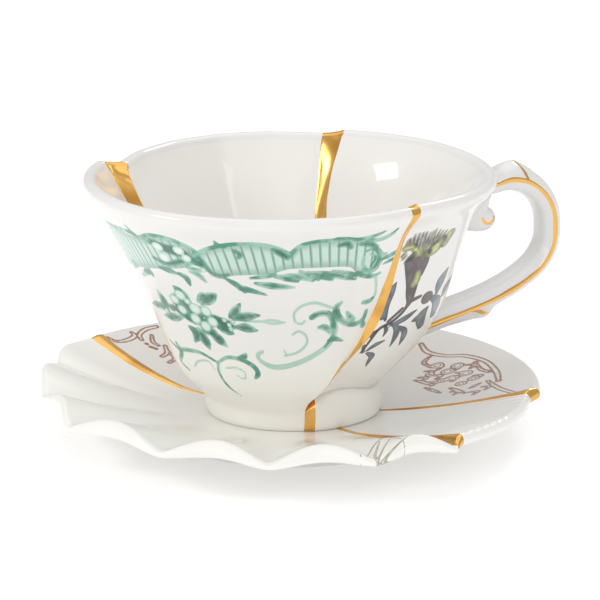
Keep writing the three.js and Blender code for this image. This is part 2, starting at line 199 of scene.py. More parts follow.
# %% Sizes of the cup
cup_height, mouth_radius, cup_wall, lip_radius = 72.6, 62.6, 3.8, 2.0
lip_share, lip_swell = 0.977, 0.7
cup_floor, foot_radius, foot_width, foot_recess = 4.1, 25.0, 2.4, 3.4
well_height, rest_gap = 7.5, 0.3
cup_base = well_height + rest_gap
gold_bead = 0.4

print_shard = SimpleNamespace(
    u=np.concatenate([np.linspace(0, 0.16, 14), np.linspace(0.17, 1, 250)]),
    waist_radius=26.6, waist_height=6, foot_roll=0.6, panels=0,
    wall=curve_through((0, 0), (0.056, 0.1), (0.135, 0.222), (0.31, 0.361), (0.52, 0.528),
                       (0.7, 0.697), (0.88, 0.875), (1, 1)),
    rim=curve_through((0, 1.006), (0.25, 0.99), (0.5, 1.02), (0.75, 0.99), (1, 0.955)),
    lift=curve_through((0, 0), (0.5, 0.2), (0.8, 0.3), (1, 0.9)), waist_lift=level(0),
)
sprig_shard = SimpleNamespace(
    u=np.concatenate([np.linspace(0, 0.36, 96), np.linspace(0.38, 1, 32)]),
    waist_radius=24.9, waist_height=8.6, foot_roll=2.5, panels=0,
    wall=curve_through((0, 0), (0.08, 0.15), (0.177, 0.309), (0.284, 0.448), (0.427, 0.579),
                       (0.606, 0.672), (0.706, 0.725), (0.826, 0.795), (0.914, 0.875), (1, 1)),
    rim=curve_through((0, 0.955), (0.25, 0.975), (0.6, 0.98), (0.8, 1.005), (1, 1.01)),
    lift=curve_through((0, 0.9), (0.4, 0.6), (1, 0.9)),
    waist_lift=curve_through((0, 1.4), (0.1, 3), (0.2, 2.6), (0.34, 0.6), (0.42, 0), (1, 0)),
)
plain_shard = SimpleNamespace(
    u=np.linspace(0, 1, 41), waist_radius=25.8, waist_height=7, foot_roll=1, panels=5,
    wall=curve_through((0, 0), (0.08, 0.14), (0.25, 0.36), (0.5, 0.58), (0.8, 0.82), (1, 1)),
    rim=curve_through((0, 1), (0.3, 1.03), (0.65, 0.99), (1, 0.91)),
    lift=curve_through((0, 0), (0.5, 0.1), (1, -0.3)), waist_lift=level(0),
)
print(f"cup {cup_height} mm tall, mouth {2 * mouth_radius} mm wide, wall {cup_wall} mm")

# %% [markdown]
# ## The gold seams
#
# A seam has an angle and a width in mm for each share of the way from the middle to the rim.
# Painted gold never has a ruled edge, so the width wavers a little with two slow waves.

# %% Seams of the cup
def seam(angle, width, waver, phase):
    angle, width = curve_through(*angle), curve_through(*width)

    def wavered(share):
        return width(share) * (1 + waver * (np.sin(19 * share + phase) + np.sin(43 * share)) / 2)

    return SimpleNamespace(angle=angle, width=wavered)


front_seam = seam([(0, -101.5), (0.03, -103), (0.07, -101.2), (0.11, -97.9), (0.19, -92.6), (0.28, -86.8),
                   (0.36, -83.1), (0.46, -80.4), (0.57, -78.5), (0.7, -77.6), (0.85, -77.3), (1, -76.3)],
                  [(0, 3), (0.05, 1.6), (0.11, 0.9), (0.2, 1), (0.32, 2), (0.5, 2.5), (0.75, 3), (0.9, 3.6),
                   (1, 3.2)], 0.08, 1)
back_seam = seam([(0, 50), (0.62, 56.2), (0.8, 55.8), (1, 54.6)],
                 [(0, 2), (0.62, 3.5), (0.77, 3.9), (0.9, 5.6), (1, 6.8)], 0.05, 2)
left_seam = seam([(0, 116), (0.6, 134), (0.78, 138), (0.9, 139), (1, 137.8)],
                 [(0, 2), (0.7, 0.9), (0.9, 0.8), (0.96, 1.4), (1, 3.2)], 0.05, 4)
print("seams at the mouth:", *[f"{edge.width(1):.1f} mm" for edge in (front_seam, back_seam, left_seam)])

# %% [markdown]
# A body is made station by station. A station is one height on the profile. Going round it, each
# shard gives its own radius and height, and a few places on the gold lead over to the next shard.

# %% Going round a body of shards
gold_places = np.array([-0.82, -0.45, 0.0, 0.45, 0.82])


def half_angle(edge, share, radius):
    return edge.width(share) / 2 / np.maximum(radius, 1) / degree


def ring_round(shards, seams, station):
    """Radius, angle and height of one station all the way round, by shard and seam."""
    ring = []
    for i, shard in enumerate(shards):
        start_seam, end_seam = seams[i], seams[(i + 1) % len(seams)]
        following = shards[(i + 1) % len(shards)]
        share, u = station.share, shard.u
        radius, height = station.at(shard, u)
        start = start_seam.angle(share) + half_angle(start_seam, share, radius)
        end = end_seam.angle(share) - half_angle(end_seam, share, radius)
        end = np.where(end < start, end + 360, end)
        ring.append(np.stack([radius, mix(start, end, u), height]))
        first = [value[0] for value in station.at(following, following.u)]
        across = (gold_places + 1) / 2
        swell = 1 - gold_places**2
        radius = mix(radius[-1], first[0], across) + station.bead * swell
        height = mix(height[-1], first[1], across) + station.rise * swell
        angle = end_seam.angle(share) + gold_places * half_angle(end_seam, share, radius)
        ring.append(np.stack([radius, np.where(angle < 0, angle + 360, angle), height]))
    return np.concatenate(ring, axis=1)


def skin_round(shards, seams, stations):
    rings = np.array([ring_round(shards, seams, station) for station in stations])
    radius, angle, height = rings[:, 0], rings[:, 1], rings[:, 2]
    x = axis_x + radius * np.cos(angle * degree)
    y = axis_y + radius * np.sin(angle * degree)
    return np.stack([x, y, height], axis=2), angle


def columns_by_shard(shards):
    """For each column the number of its shard, or -1 on gold."""
    return np.concatenate([[i] * len(shard.u) + [-1] * len(gold_places)
                           for i, shard in enumerate(shards)])


print(len(gold_places), "places across each seam")

# %% [markdown]
# ## The bowl
#
# The profile runs from the middle of the underside over the foot, up the wall, round the lip
# and down the inside to the floor. Outside and inside are one closed skin, so the wall has its
# real thickness, and the rim shows it.

# %% Profile of the bowl
panel_turn = 15.6 * degree
slope_step = 0.02


def panel_factor(shard, u):
    """Makes an arc a row of flat panels, which come nearer to the axis at their middle."""
    if not shard.panels:
        return 1
    on_panel = (u * shard.panels) % 1
    return np.cos(panel_turn / 2) / np.cos((on_panel - 0.5) * panel_turn)


def wall_point(shard, u, share):
    flare = mouth_radius * shard.rim(u) - shard.waist_radius
    radius = shard.waist_radius + flare * shard.wall(share) * panel_factor(shard, u)
    lip = cup_height - lip_radius + shard.lift(u) * share
    return radius, mix(shard.waist_height + shard.waist_lift(u), lip, share)


def wall_inside(shard, u, share, depth):
    """The wall's outside moved inwards by a depth, square to the wall."""
    below = wall_point(shard, u, max(share - slope_step, 0))
    above = wall_point(shard, u, min(share + slope_step, 1))
    across, up = above[0] - below[0], above[1] - below[1]
    length = np.hypot(across, up)
    radius, height = wall_point(shard, u, share)
    return radius - depth * up / length, height + depth * across / length


_, lip_height = wall_point(print_shard, 0.5, 1)
print(f"the wall of the printed shard ends {lip_height:.1f} mm above the cup's foot")

# %% The foot, the lip and the floor
def foot_point(shard, u, t):
    roll = shard.foot_roll * math.sqrt(math.sin(math.pi * t))
    height = (shard.waist_height + shard.waist_lift(u)) * (1 - math.cos(math.pi * t)) / 2
    return mix(foot_radius, shard.waist_radius, t) + roll + 0 * u, height + 0 * u


swell_along = curve_through((0.84, 0), (0.9, 0.25), (0.95, 0.85), (lip_share, 1))


def wall_outside(shard, u, share):
    radius, height = wall_point(shard, u, share)
    return radius + lip_swell * swell_along(share), height


def lip_point(shard, u, turn):
    """Half a circle from the outside of the wall's end to its inside."""
    outer = np.array(wall_outside(shard, u, lip_share))
    inner = np.array(wall_inside(shard, u, lip_share, cup_wall))
    middle, (out, up) = (outer + inner) / 2, (outer - inner) / 2
    radius = middle[0] + out * math.cos(turn) - up * math.sin(turn)
    return radius, middle[1] + up * math.cos(turn) + out * math.sin(turn)


lowest_inside = 0.15


def floor_point(shard, u, t):
    """From the middle of the floor, t = 0, to where the wall begins, t = 1."""
    radius, height = wall_inside(shard, u, lowest_inside, cup_wall)
    return radius * t, mix(foot_recess + cup_floor, height, t**3)


lip_top = max(lip_point(print_shard, 0.5, turn)[1] for turn in np.linspace(0, math.pi, 15))
print(f"its lip is round and reaches {lip_top:.1f} mm")

# %% Stations of the bowl
outside, inside, hidden = range(3)


def station(share, at, bead=0.0, rise=0.0, side=outside):
    """Bead and rise are how far the gold stands out and up in the middle of a seam."""
    return SimpleNamespace(share=share, at=at, bead=bead, rise=rise, side=side)


def cup_station(share, at, **settings):
    """A station of the cup, which stands in the well of the saucer."""
    def lifted(shard, u):
        radius, height = at(shard, u)
        return radius, height + cup_base

    return station(share, lifted, **settings)


def level_point(radius, height):
    return lambda shard, u: (radius + 0 * u, height + 0 * u)


ring_inner = foot_radius - foot_width
foot_profile = [*[(radius, foot_recess) for radius in (0, 8, 16, ring_inner - 1.4)],
                (ring_inner - 1, foot_recess - 0.4), (ring_inner - 0.1, 0.4),
                (ring_inner + 0.3, 0), (foot_radius - 0.3, 0)]
bead_growth, lip_dip = 9, 0.25
foot_shares = (1 - np.cos(np.linspace(0.12, 0.97, 16) * math.pi)) / 2
lip_turns = np.linspace(0, math.pi, 15)[1:]
floor_shares = (0.93, 0.84, 0.72, 0.58, 0.44, 0.3, 0.15, 0)
bowl_stations = [
    *[cup_station(0, level_point(*place), side=hidden) for place in foot_profile],
    *[cup_station(0, lambda s, u, t=share: foot_point(s, u, t)) for share in foot_shares],
    *[cup_station(share, lambda s, u, t=share: wall_outside(s, u, t),
                  bead=gold_bead * min(share * bead_growth, 1))
      for share in np.linspace(0, lip_share, 106)],
    *[cup_station(1, lambda s, u, t=turn: lip_point(s, u, t), bead=gold_bead * math.cos(turn) / 2,
                  rise=-lip_dip * math.sin(turn)) for turn in lip_turns],
    *[cup_station(share, lambda s, u, t=share: wall_inside(s, u, t, cup_wall), bead=-gold_bead, side=inside)
      for share in np.linspace(0.965, lowest_inside, 30)],
    *[cup_station(lowest_inside * share, lambda s, u, t=share: floor_point(s, u, t), side=inside)
      for share in floor_shares],
]
wall_row = len(foot_profile) + len(foot_shares)
lip_row = next(i for i, s in enumerate(bowl_stations) if s.share == 1)
print(len(bowl_stations), "stations, the wall starts at", wall_row, "and the lip at", lip_row)

# %% [markdown]
# Where foot and wall meet, a potter wipes the crease with a wet finger. `soften` does the same,
# most on the printed shard and least under the spray, whose crease is sharp on the real cup.

# %% The places of the bowl
cup_shards = [sprig_shard, plain_shard, print_shard]
cup_seams = [front_seam, back_seam, left_seam]
bowl_places, bowl_angle = skin_round(cup_shards, cup_seams, bowl_stations)
bowl_shard = columns_by_shard(cup_shards)


def soften(places, rows, columns, times):
    """Eases a crease across the rows: each corner moves towards the middle of its neighbours."""
    part = places[:, columns]
    for _ in range(times):
        middle = (part[[row - 1 for row in rows]] + part[[row + 1 for row in rows]]) / 2
        part[rows] += 0.5 * (middle - part[rows])
    places[:, columns] = part


for shard_number, first, last, times in ((print_zone, -10, 5, 30), (plain_zone, -7, 1, 12),
                                         (sprig_zone, -5, -1, 3)):
    soften(bowl_places, range(wall_row + first, wall_row + last + 1), bowl_shard == shard_number, times)
print(bowl_places.shape[0], "x", bowl_places.shape[1], "places on the bowl")

# %% [markdown]
# The prints need a flat map in millimetres. It measures round the cup from the middle of each
# shard, at the radius of the print, and down the wall from the lip.

# %% The flat map
print_radius = 60
print_middle, sprig_middle, plain_middle = 203, -43, 90
middle = np.where(bowl_shard == print_zone, print_middle,
                  np.where(bowl_shard == sprig_zone, sprig_middle, plain_middle))
along = (bowl_angle - middle + 180) % 360 - 180
steps = np.linalg.norm(np.diff(bowl_places, axis=0), axis=2)
down = np.concatenate([np.zeros((1, steps.shape[1])), np.cumsum(steps, axis=0)])
down = down[lip_row] - down
bowl_flat = np.stack([along * degree * print_radius, down], axis=2)
bowl_flat = np.concatenate([bowl_flat, bowl_flat[:, :1]], axis=1)
print(f"the wall is {down[wall_row].max():.0f} mm long from the lip to the foot")

# %% [markdown]
# ## Drawing with brush strokes
#
# A print is drawn the way a painter would: with strokes that swell and taper. A stroke is a few
# points `(across, down, half the width)` in mm, with a smooth line through them. `ink` measures
# for each corner of a mesh how far it lies from the nearest stroke's edge, and less than nothing
# means painted. The distance is stored on the mesh, so that the material can cut a sharp edge
# out of it, a thin outline, or a soft shade, without any picture.
#
# A decorator's brush keeps its width where one looks straight at the pot, and the stroke is
# stretched where the wall turns away. So the bowl's strokes are measured as seen from their front.

# %% Strokes and the distance to them
dot_pitch = 0.35
unpainted = 3.0


def brushed(stroke):
    """The stroke as a row of round dots that lie close together."""
    points = np.array(stroke, float)
    if len(points) == 1:
        return points
    gaps = np.linalg.norm(np.diff(points[:, :2], axis=0), axis=1) + 0.01
    length = np.concatenate([[0], np.cumsum(gaps)])
    at = np.linspace(0, length[-1], max(int(length[-1] / dot_pitch), 2))
    return np.stack([curve_through(*zip(length, points[:, i]))(at) for i in range(3)], axis=1)


def faced(points, middle):
    """The flat map as seen from in front of the middle: what lies beside it turns away."""
    points = np.array(points, float)
    turned = np.clip((points[..., 0] - middle) / print_radius, -1.5, 1.5)
    points[..., 0] = print_radius * np.sin(turned)
    return points


def ink(places, strokes, middle=None):
    """The distance from each place to the nearest stroke's edge, negative inside, in mm."""
    distance = np.full(places.shape[:-1], unpainted)
    search = unpainted + 3
    if middle is not None:
        places = faced(places, middle)
    for stroke in strokes:
        dots = brushed(stroke if middle is None else faced(stroke, middle))
        low, high = dots[:, :2].min(0) - search, dots[:, :2].max(0) + search
        near = ((places > low) & (places < high)).all(-1)
        if near.any():
            gap = np.linalg.norm(places[near][:, None] - dots[None, :, :2], axis=2) - dots[:, 2]
            distance[near] = np.minimum(distance[near], gap.min(1))
    return distance


print("the middle of a 2 mm dot lies", ink(np.zeros((1, 2)), [[(0, 0, 1)]])[0], "mm from its edge")

# %% [markdown]
# ## The green print
#
# A border of ribbed arches with a leaf spray under it, a spray of flowers, and scrolls: old,
# common ornament for transfer-printed tea ware. The strokes follow its main lines. Each kind of
# stroke gets its own list, because each gets its own green: rails and leaves are solid, washes
# are thin, and blanks are left white.

# %% Rails of the green print
rail_strokes = [
    [(-32.1, 9.3, 0.3), (-20.2, 8.7, 0.5), (-10.3, 8.1, 0.5), (-4.9, 9.3, 0.5), (-0.7, 10.3, 0.4)],
    [(-9.6, 5.3, 0.1), (-7.9, 7.5, 0.4), (-5.6, 9.2, 0.4)],
    [(-4.6, 8.9, 0.3), (1.4, 6.7, 0.5), (8, 6.6, 0.5), (12.7, 8.1, 0.5), (16.3, 10.8, 0.6),
     (14.5, 14.6, 0.7), (17.1, 15.9, 0.4)],
    [(16, 11.8, 0.5), (21.2, 8.8, 0.5), (26.8, 6.7, 0.5), (32.8, 5.8, 0.5), (38.9, 6.2, 0.5),
     (42.7, 7.9, 0.6), (45.6, 10.2, 0.7)],
    [(45.4, 10.2, 0.5), (49, 6.3, 0.5), (53.8, 4.9, 0.5), (59.2, 4.8, 0.5)],
    [(59.3, 4.4, 0.5), (62.4, 4.7, 0.5), (65.6, 5.4, 0.45), (69.2, 5.2, 0.5), (72.8, 4.4, 0.4),
     (74.5, 3.5, 0.1)],
    [(69.5, 6.4, 0.6), (73.5, 6.8, 0.6), (77.1, 5.5, 0.5), (78.9, 3.2, 0.1)],
    [(23.7, 5.3, 0.1), (24.5, 6.9, 0.5), (26.3, 7.8, 0.2)],
    [(70.1, 10.7, 0.3), (72.4, 9.9, 0.4), (75.4, 13.1, 0.4), (74.9, 16.8, 0.4), (72.6, 18.7, 0.4),
     (69.7, 15.5, 0.3), (69.6, 12.8, 0.2)],
    [(71.9, 12, 0.2), (74, 14, 0.25), (73.1, 16.6, 0.2)],
    [(76.5, 14.9, 0.2), (79.5, 13.8, 0.6), (82.5, 12.5, 0.5)],
    [(78.1, 16.6, 0.2), (80.7, 15.7, 0.4), (82.8, 15, 0.3)],
]

# %% Leaves, stalks and scrolls of the green print
leaf_strokes = [
    [(-10.4, 21.3, 0.2), (-10.4, 22.6, 0.9), (-18, 26.2, 0.1)],
    [(-14.6, 24.5, 0.2), (-9.7, 23.1, 0.8), (-8.7, 24.5, 0.1)],
    [(-1.6, 19.8, 0.3), (3, 20.2, 0.8), (6.3, 20.9, 0.1)],
    [(6.5, 20.5, 0.2), (9.1, 21.7, 0.9), (9.6, 24.6, 0.1)],
    [(11.8, 19, 0.2), (14.6, 19.8, 0.8), (16.8, 22.3, 0.1)],
    [(9.4, 16.7, 0.1), (13.5, 17.7, 0.6), (17.1, 17.9, 0.2)],
    [(-23.3, 21.7, 0.2), (-18.6, 21.9, 0.6), (-24.5, 24.8, 0.1)],
    [(24, 20, 0.2), (27.6, 22.3, 0.8), (30, 24.8, 0.3)],
    [(27.5, 22.6, 0.5), (31.9, 24, 0.7), (37.4, 25.6, 0.05)],
    [(33.9, 21.2, 0.2), (39.4, 22, 1), (47.2, 22.6, 0.05)],
    [(32.5, 19.3, 0.1), (37, 18.5, 0.5), (40.8, 17.7, 0.4)],
    [(40.7, 18.4, 0.3), (44.5, 19, 0.9), (48.3, 20.4, 0.1)],
    [(44.5, 17.7, 0.2), (48.3, 18.4, 0.8), (53.3, 20.4, 0.05)],
    [(49.9, 17.2, 0.2), (54.9, 18.4, 0.8), (59.6, 20.4, 0.05)],
    [(54.2, 17, 0.2), (59.3, 18.1, 0.7), (66, 19.7, 0.3)],
    [(6.4, 31.7, 0.35), (3.9, 28.8, 1.7), (1.2, 26.4, 0.05)],
    [(-10.6, 37.3, 0.45), (-10.2, 34.1, 1.4), (-11.2, 30.4, 0.05)],
    [(-9.7, 37.7, 0.45), (-15.8, 37, 1.2), (-26.1, 38.5, 0.05)],
    [(11.7, 31.5, 0.45), (15.4, 29, 1.8), (18.7, 26.9, 0.35)],
    [(10.6, 30.7, 0.45), (13.5, 28.6, 1.5), (13.2, 27.6, 0.35)],
    [(22.2, 35.3, 0.45), (24.7, 33.1, 1.4), (27.3, 29.6, 0.05)],
    [(23.4, 35.9, 0.45), (29, 34.4, 1.4), (34.1, 33.7, 0.05)],
    [(24, 39, 0.45), (28.1, 38.9, 1.4), (32.4, 39.6, 0.05)],
    [(1.1, 42.1, 0.45), (3.7, 44.2, 1.6), (0.8, 47.8, 0.05)],
    [(5.6, 42, 0.45), (7.2, 46.1, 1.7), (8.3, 49.4, 0.05)],
    [(11.8, 43, 0.45), (14.4, 44.5, 1.7), (17.8, 47.2, 0.05)],
    [(15.9, 39.9, 0.45), (19.3, 40.7, 1.4), (22, 41.7, 0.1)],
    [(-1.8, 38.8, 0.45), (-7.9, 39.9, 1.3), (-15.1, 40.6, 0.1)],
    [(53.7, 34.3, 0.7), (56.2, 33.1, 0.8), (60.2, 33.4, 0.8), (62.8, 37.4, 0.7),
     (63.2, 41.8, 0.5), (60.5, 45.9, 0.2)],
    [(56.7, 38.3, 0.2), (59.5, 38.4, 0.9), (61.9, 40.5, 0.4)],
    [(61.7, 43.5, 0.3), (64.5, 43.1, 0.6), (68.2, 44.1, 0.1)],
    [(-23.4, 51.3, 0.1), (-16, 53, 0.4), (-6.6, 52.1, 0.5), (2.3, 51.9, 0.35), (10.6, 54.4, 0.2)],
    [(-15, 50.7, 0.1), (-13.6, 53.9, 0.5), (-18.8, 58.4, 0.4), (-13.1, 61, 0.1)],
    [(10.7, 54.1, 0.2), (16.8, 51.4, 0.4), (23.2, 51.7, 0.5), (28.3, 53.7, 0.7),
     (30.2, 56.5, 0.8), (28.7, 58.2, 0.5)],
    [(21.8, 51.2, 0.3), (25.2, 49.9, 0.7), (25.7, 49.2, 0.3)],
    [(10.3, 55.1, 0.3), (9.5, 58.1, 0.35), (11.6, 62.8, 0.3), (17.4, 67.8, 0.08)],
    [(48.8, 16.4, 0.3), (51.6, 18.2, 0.7), (55.1, 20, 0.1)],
    [(51.1, 17, 0.4), (55.9, 18.1, 0.8), (60, 20.4, 0.1)],
    [(56.3, 17.3, 0.3), (60.7, 18.5, 0.9), (68.4, 21.1, 0.05)],
    [(59.6, 17, 0.2), (63.1, 17.9, 0.6), (68.5, 19.4, 0.5)],
    [(68.4, 18.6, 0.4), (71.3, 19.8, 0.8), (75.5, 20.7, 0.5), (77.6, 20, 0.2)],
    [(64.9, 29.3, 0.2), (63, 31.3, 1), (64.5, 34.7, 0.9), (68.1, 37.5, 0.7), (72.8, 38.3, 0.7),
     (75.8, 37, 0.5), (76.4, 33.9, 0.4)],
    [(67.8, 33.4, 0.2), (69.5, 35.2, 0.8), (71.6, 36.3, 0.3)],
    [(74, 30.4, 0.5), (76.2, 30.4, 0.7), (77.7, 29.3, 0.3)],
    [(75.1, 37, 0.3), (76.4, 39.2, 0.8)],
]
print(len(rail_strokes), "rails and", len(leaf_strokes), "leaves and scrolls")

# %% Thin washes of the green print
wash_strokes = [
    [(60.1, 32.8, 0.6), (63.7, 38.1, 0.9), (63.1, 43.6, 0.9), (57.1, 48.3, 0.8),
     (47.6, 52.1, 0.8), (38.4, 53.5, 0.8), (32.5, 51.6, 0.6), (31, 49.1, 0.6), (33.4, 47.7, 0.5)],
    [(47.4, 36, 0.25), (47, 32.8, 0.3), (49.7, 29.9, 0.3), (54.6, 28.8, 0.35), (59.8, 30.5, 0.3),
     (62.5, 31.4, 0.2)],
    [(47.4, 36, 0.2), (50, 36.7, 0.3), (51.2, 35.5, 0.2)],
    [(46.4, 40.8, 0.2), (48.7, 39.5, 0.25), (51.9, 41.2, 0.3), (52.4, 44.3, 0.3),
     (48.9, 47.4, 0.3), (43.1, 48.9, 0.2)],
    [(42.8, 46.7, 0.2), (43.9, 48.6, 0.25)],
    [(34.5, 36, 0.1), (38.4, 36, 0.9), (43.5, 36.2, 0.1)],
    [(27.9, 36.4, 0.25), (34.5, 36, 0.25), (43.5, 36.2, 0.2)],
    [(-6.2, 58.3, 0.15), (-2, 55.7, 0.2), (4.8, 54.6, 0.2), (7.4, 57.4, 0.15)],
    [(14.5, 55.8, 0.15), (19.9, 55.2, 0.2), (23.6, 56.7, 0.2), (22.9, 59.4, 0.15), (19, 58.1, 0.15)],
    [(40.2, 8.6, 0.2)],
    [(76.3, 21.4, 0.25), (77.7, 24.9, 0.25), (78.2, 28.8, 0.25), (76.3, 30.7, 0.3)],
]

print(len(wash_strokes), "washes")

# %% Petals and the ground under them
petal_strokes = [
    [(10, 40.4, 2)], [(6, 38.1, 2)], [(7.6, 34, 2.2)], [(12.4, 34.3, 2)], [(14, 38.2, 2)],
    [(0.4, 35.6, 1.8)], [(-1.8, 32, 1.8)], [(2.6, 29.6, 2)], [(5, 31.6, 1.3)],
    [(19.4, 36.8, 1)], [(22.8, 37.2, 1)], [(21.4, 40, 1)],
]
ground_strokes = [
    [(10, 37.1, 4.4)], [(1.4, 32.8, 3.6), (6, 35, 2.6)], [(14, 37, 1.6), (20.6, 38.4, 1.9)],
    [(-6, 36, 1.4), (-1, 36.4, 1.6), (5, 39, 1.6)], [(9, 42, 1.6), (13, 42.4, 1.4)],
]

print(len(petal_strokes), "petals on", len(ground_strokes), "patches of ground")

# %% Dark touches and blanks
dark_strokes = [
    [(40.8, 7.9, 0.3), (42.7, 9.3, 0.8), (44.6, 10.9, 0.6)],
    [(29.3, 9, 0.4), (30.6, 10.3, 0.5), (29.9, 11.6, 0.2)],
    [(14.8, 13.9, 0.6), (17.2, 15.6, 0.6), (16.8, 13, 0.5)],
    [(17.8, 13.5, 0.2), (19.8, 18.5, 0.35), (23, 19.4, 0.4), (25.5, 18.5, 0.2)],
    [(0.6, 9.4, 0.8), (5.3, 11, 1.5), (11.3, 11.9, 1.6), (13.5, 14.1, 0.8)],
    [(-2, 16.3, 0.4), (3, 17.3, 0.5), (10, 15.3, 0.6)],
    [(-0.9, 34.2, 0.6), (0.1, 37.2, 1), (2.9, 38.7, 0.8)],
    [(15.7, 36.1, 0.5), (18.8, 37.7, 1), (22.6, 39.1, 0.5)],
    [(10.5, 37.2, 0.7)],
    [(9.1, 21.7, 0.4)],
    [(39.4, 22, 0.4), (44.4, 22.4, 0.3)],
    [(28.5, 23.5, 0.5), (31.8, 24.3, 0.3)],
    [(14.7, 29.1, 0.5)],
    [(6.5, 43.7, 0.4), (7.2, 46.1, 0.5)],
    [(14.4, 44.5, 0.5)],
    [(54.4, 34.2, 0.5), (56.2, 33.3, 0.4)],
    [(59.9, 38.8, 0.5)],
    [(29.7, 56.8, 0.5)],
    [(25.1, 50.2, 0.4)],
    [(-15.5, 51.1, 0.2), (-14.6, 54, 0.35)],
    [(60.6, 7.2, 0.4), (62.7, 6.9, 0.7), (64.4, 8.5, 0.3)],
    [(67.4, 7.5, 0.3), (71, 8.3, 0.5), (73.3, 9.5, 0.2)],
    [(60.8, 18.8, 0.4), (65, 20.1, 0.3)],
    [(69.5, 35.2, 0.4)],
    [(75.6, 30.4, 0.4)],
    [(76.3, 38.7, 0.4)],
    [(71.2, 19.5, 0.4)],
]
blank_strokes = [
    [(2.2, 11.1, 1.7)], [(3.1, 15, 1.8)], [(10.4, 11.1, 1.7)], [(12.3, 13.8, 1.5)], [(17.1, 17.7, 0.9)],
    [(-4.1, 37.7, 0.9)], [(-11.2, 38, 0.8)], [(21, 38.5, 0.9)], [(10.5, 37.2, 0.35)],
]
print(len(dark_strokes), "dark touches and", len(blank_strokes), "blanks")

# %% The edges of the ribbed border
border_top = curve_through(
    (-34.1, 10), (-22.8, 9.3), (-16.9, 9.1), (-13.4, 9.2), (-4.9, 9.3), (1.3, 7), (8, 6.7),
    (12.6, 8.3), (16.2, 11.3), (21.1, 9), (26.7, 6.9), (32.7, 6), (38.9, 6.6), (42.7, 8.2),
    (45.4, 10.5), (49, 6.5), (53.8, 5.1), (59.2, 5), (62.4, 4.8), (65.6, 5.5), (69.5, 6.4), (73.4, 9),
    (76.7, 12.3))
border_foot = curve_through(
    (-39.3, 19.7), (-36, 22.5), (-28.9, 24.3), (-12.2, 22), (-0.9, 20.1), (8.9, 18.1), (14.6, 16.2),
    (18.7, 18.3), (23.1, 19.1), (31, 18.2), (39.7, 17.4), (44.5, 15.7), (48.7, 15.3), (57.9, 15.4),
    (65.3, 16.1), (68.4, 18.6), (72.3, 19.4), (76, 18.6), (77.5, 14.6))

print(f"the border is {float(border_foot(30.0) - border_top(30.0)):.1f} mm high at its middle")

# %% [markdown]
# ## The botanical spray
#
# A tall fringed flower with a purple body, a berry and slate leaves climbs beside the front seam.

# %% Strokes of the spray
body_strokes = [
    [(-29.7, 18.4, 0.9), (-26.5, 22.3, 1.9), (-25, 26.3, 1.7), (-24.6, 29.7, 1.3),
     (-24.3, 32.5, 0.6), (-25.2, 34.3, 0.12)],
    [(-21.9, 17.3, 1.2), (-22.3, 20.1, 1.6), (-23.2, 23.2, 1.5)],
    [(-27, 17.6, 0.8), (-24.5, 19.6, 1.2), (-22.6, 18.4, 0.8)],
    [(-13.4, 33, 1.6)],
    [(-24.2, 33, 0.12), (-26.9, 36, 0.12), (-31.6, 38.8, 0.12), (-36.6, 40.2, 0.15),
     (-39.1, 44.2, 0.12), (-41.6, 49.9, 0.15)],
    [(-18.2, 31.7, 0.05), (-24.3, 32.5, 0.3)],
    [(-27.4, 34.4, 0.05), (-33.3, 38, 0.05)],
]
gold_green_strokes = [
    [(-32.5, 13.5, 0.7), (-29.5, 13.4, 0.8), (-25.9, 16.2, 0.6)],
    [(-19.1, 16.9, 1), (-17.2, 15.8, 1.4), (-17.2, 14.4, 1)],
    [(-12.4, 15.3, 0.8), (-11.1, 13.2, 1.1), (-10.1, 11.9, 0.8)],
    [(-23.2, 23.2, 0.5), (-23, 25.6, 0.8), (-24.1, 26.9, 0.4)],
]

print(len(body_strokes), "strokes of the body and", len(gold_green_strokes), "of its mouth")

# %% The fringe of the flower
hairs = [
    ((-32.4, 12.8), (-32.4, 11.7), (-32.4, 10.6)), ((-30.9, 12.8), (-31.3, 11.5), (-31.7, 10.2)),
    ((-29.7, 12.7), (-29.9, 10.9), (-30.2, 8.9)), ((-27.9, 13.3), (-28.1, 11.2), (-28.4, 8.9)),
    ((-26.2, 14.3), (-26.3, 11.7), (-26.7, 8.9)), ((-24.6, 15), (-24.7, 12.1), (-25.1, 9)),
    ((-23.3, 15.7), (-23, 12.7), (-23.1, 9.6)), ((-22.2, 15.6), (-21.7, 12.5), (-21.7, 9.1)),
    ((-20.8, 15.6), (-20.3, 12.4), (-20.5, 8.8)), ((-19.6, 14.9), (-18.7, 12.3), (-18.2, 9.5)),
    ((-18.3, 14.4), (-17.1, 12.3), (-16.2, 10.2)), ((-17.3, 14.1), (-15.5, 12.4), (-13.8, 10.6)),
    ((-24, 17.4), (-23.9, 15.1), (-23.9, 12.7)), ((-33.3, 16.1), (-32.5, 15.4), (-31.8, 14.8)),
    ((-32.7, 17.1), (-31.9, 16.5), (-31.2, 15.9)), ((-31.3, 18.4), (-30.2, 18), (-29, 17.6)),
]
fringe_strokes = [[(*root, 0.25), (*bend, 0.3), (*tip, 0.1)] for root, bend, tip in hairs]
fringe_strokes += [
    [(-30, 17.5, 0.6), (-27.8, 16.4, 0.9)],
    [(-21.5, 18.3, 0.5), (-20.7, 16.6, 0.8)],
    [(-18, 12.8, 0.4), (-13.8, 13.1, 0.7), (-13.1, 15.6, 0.3)],
]
print(len(hairs), "hairs")

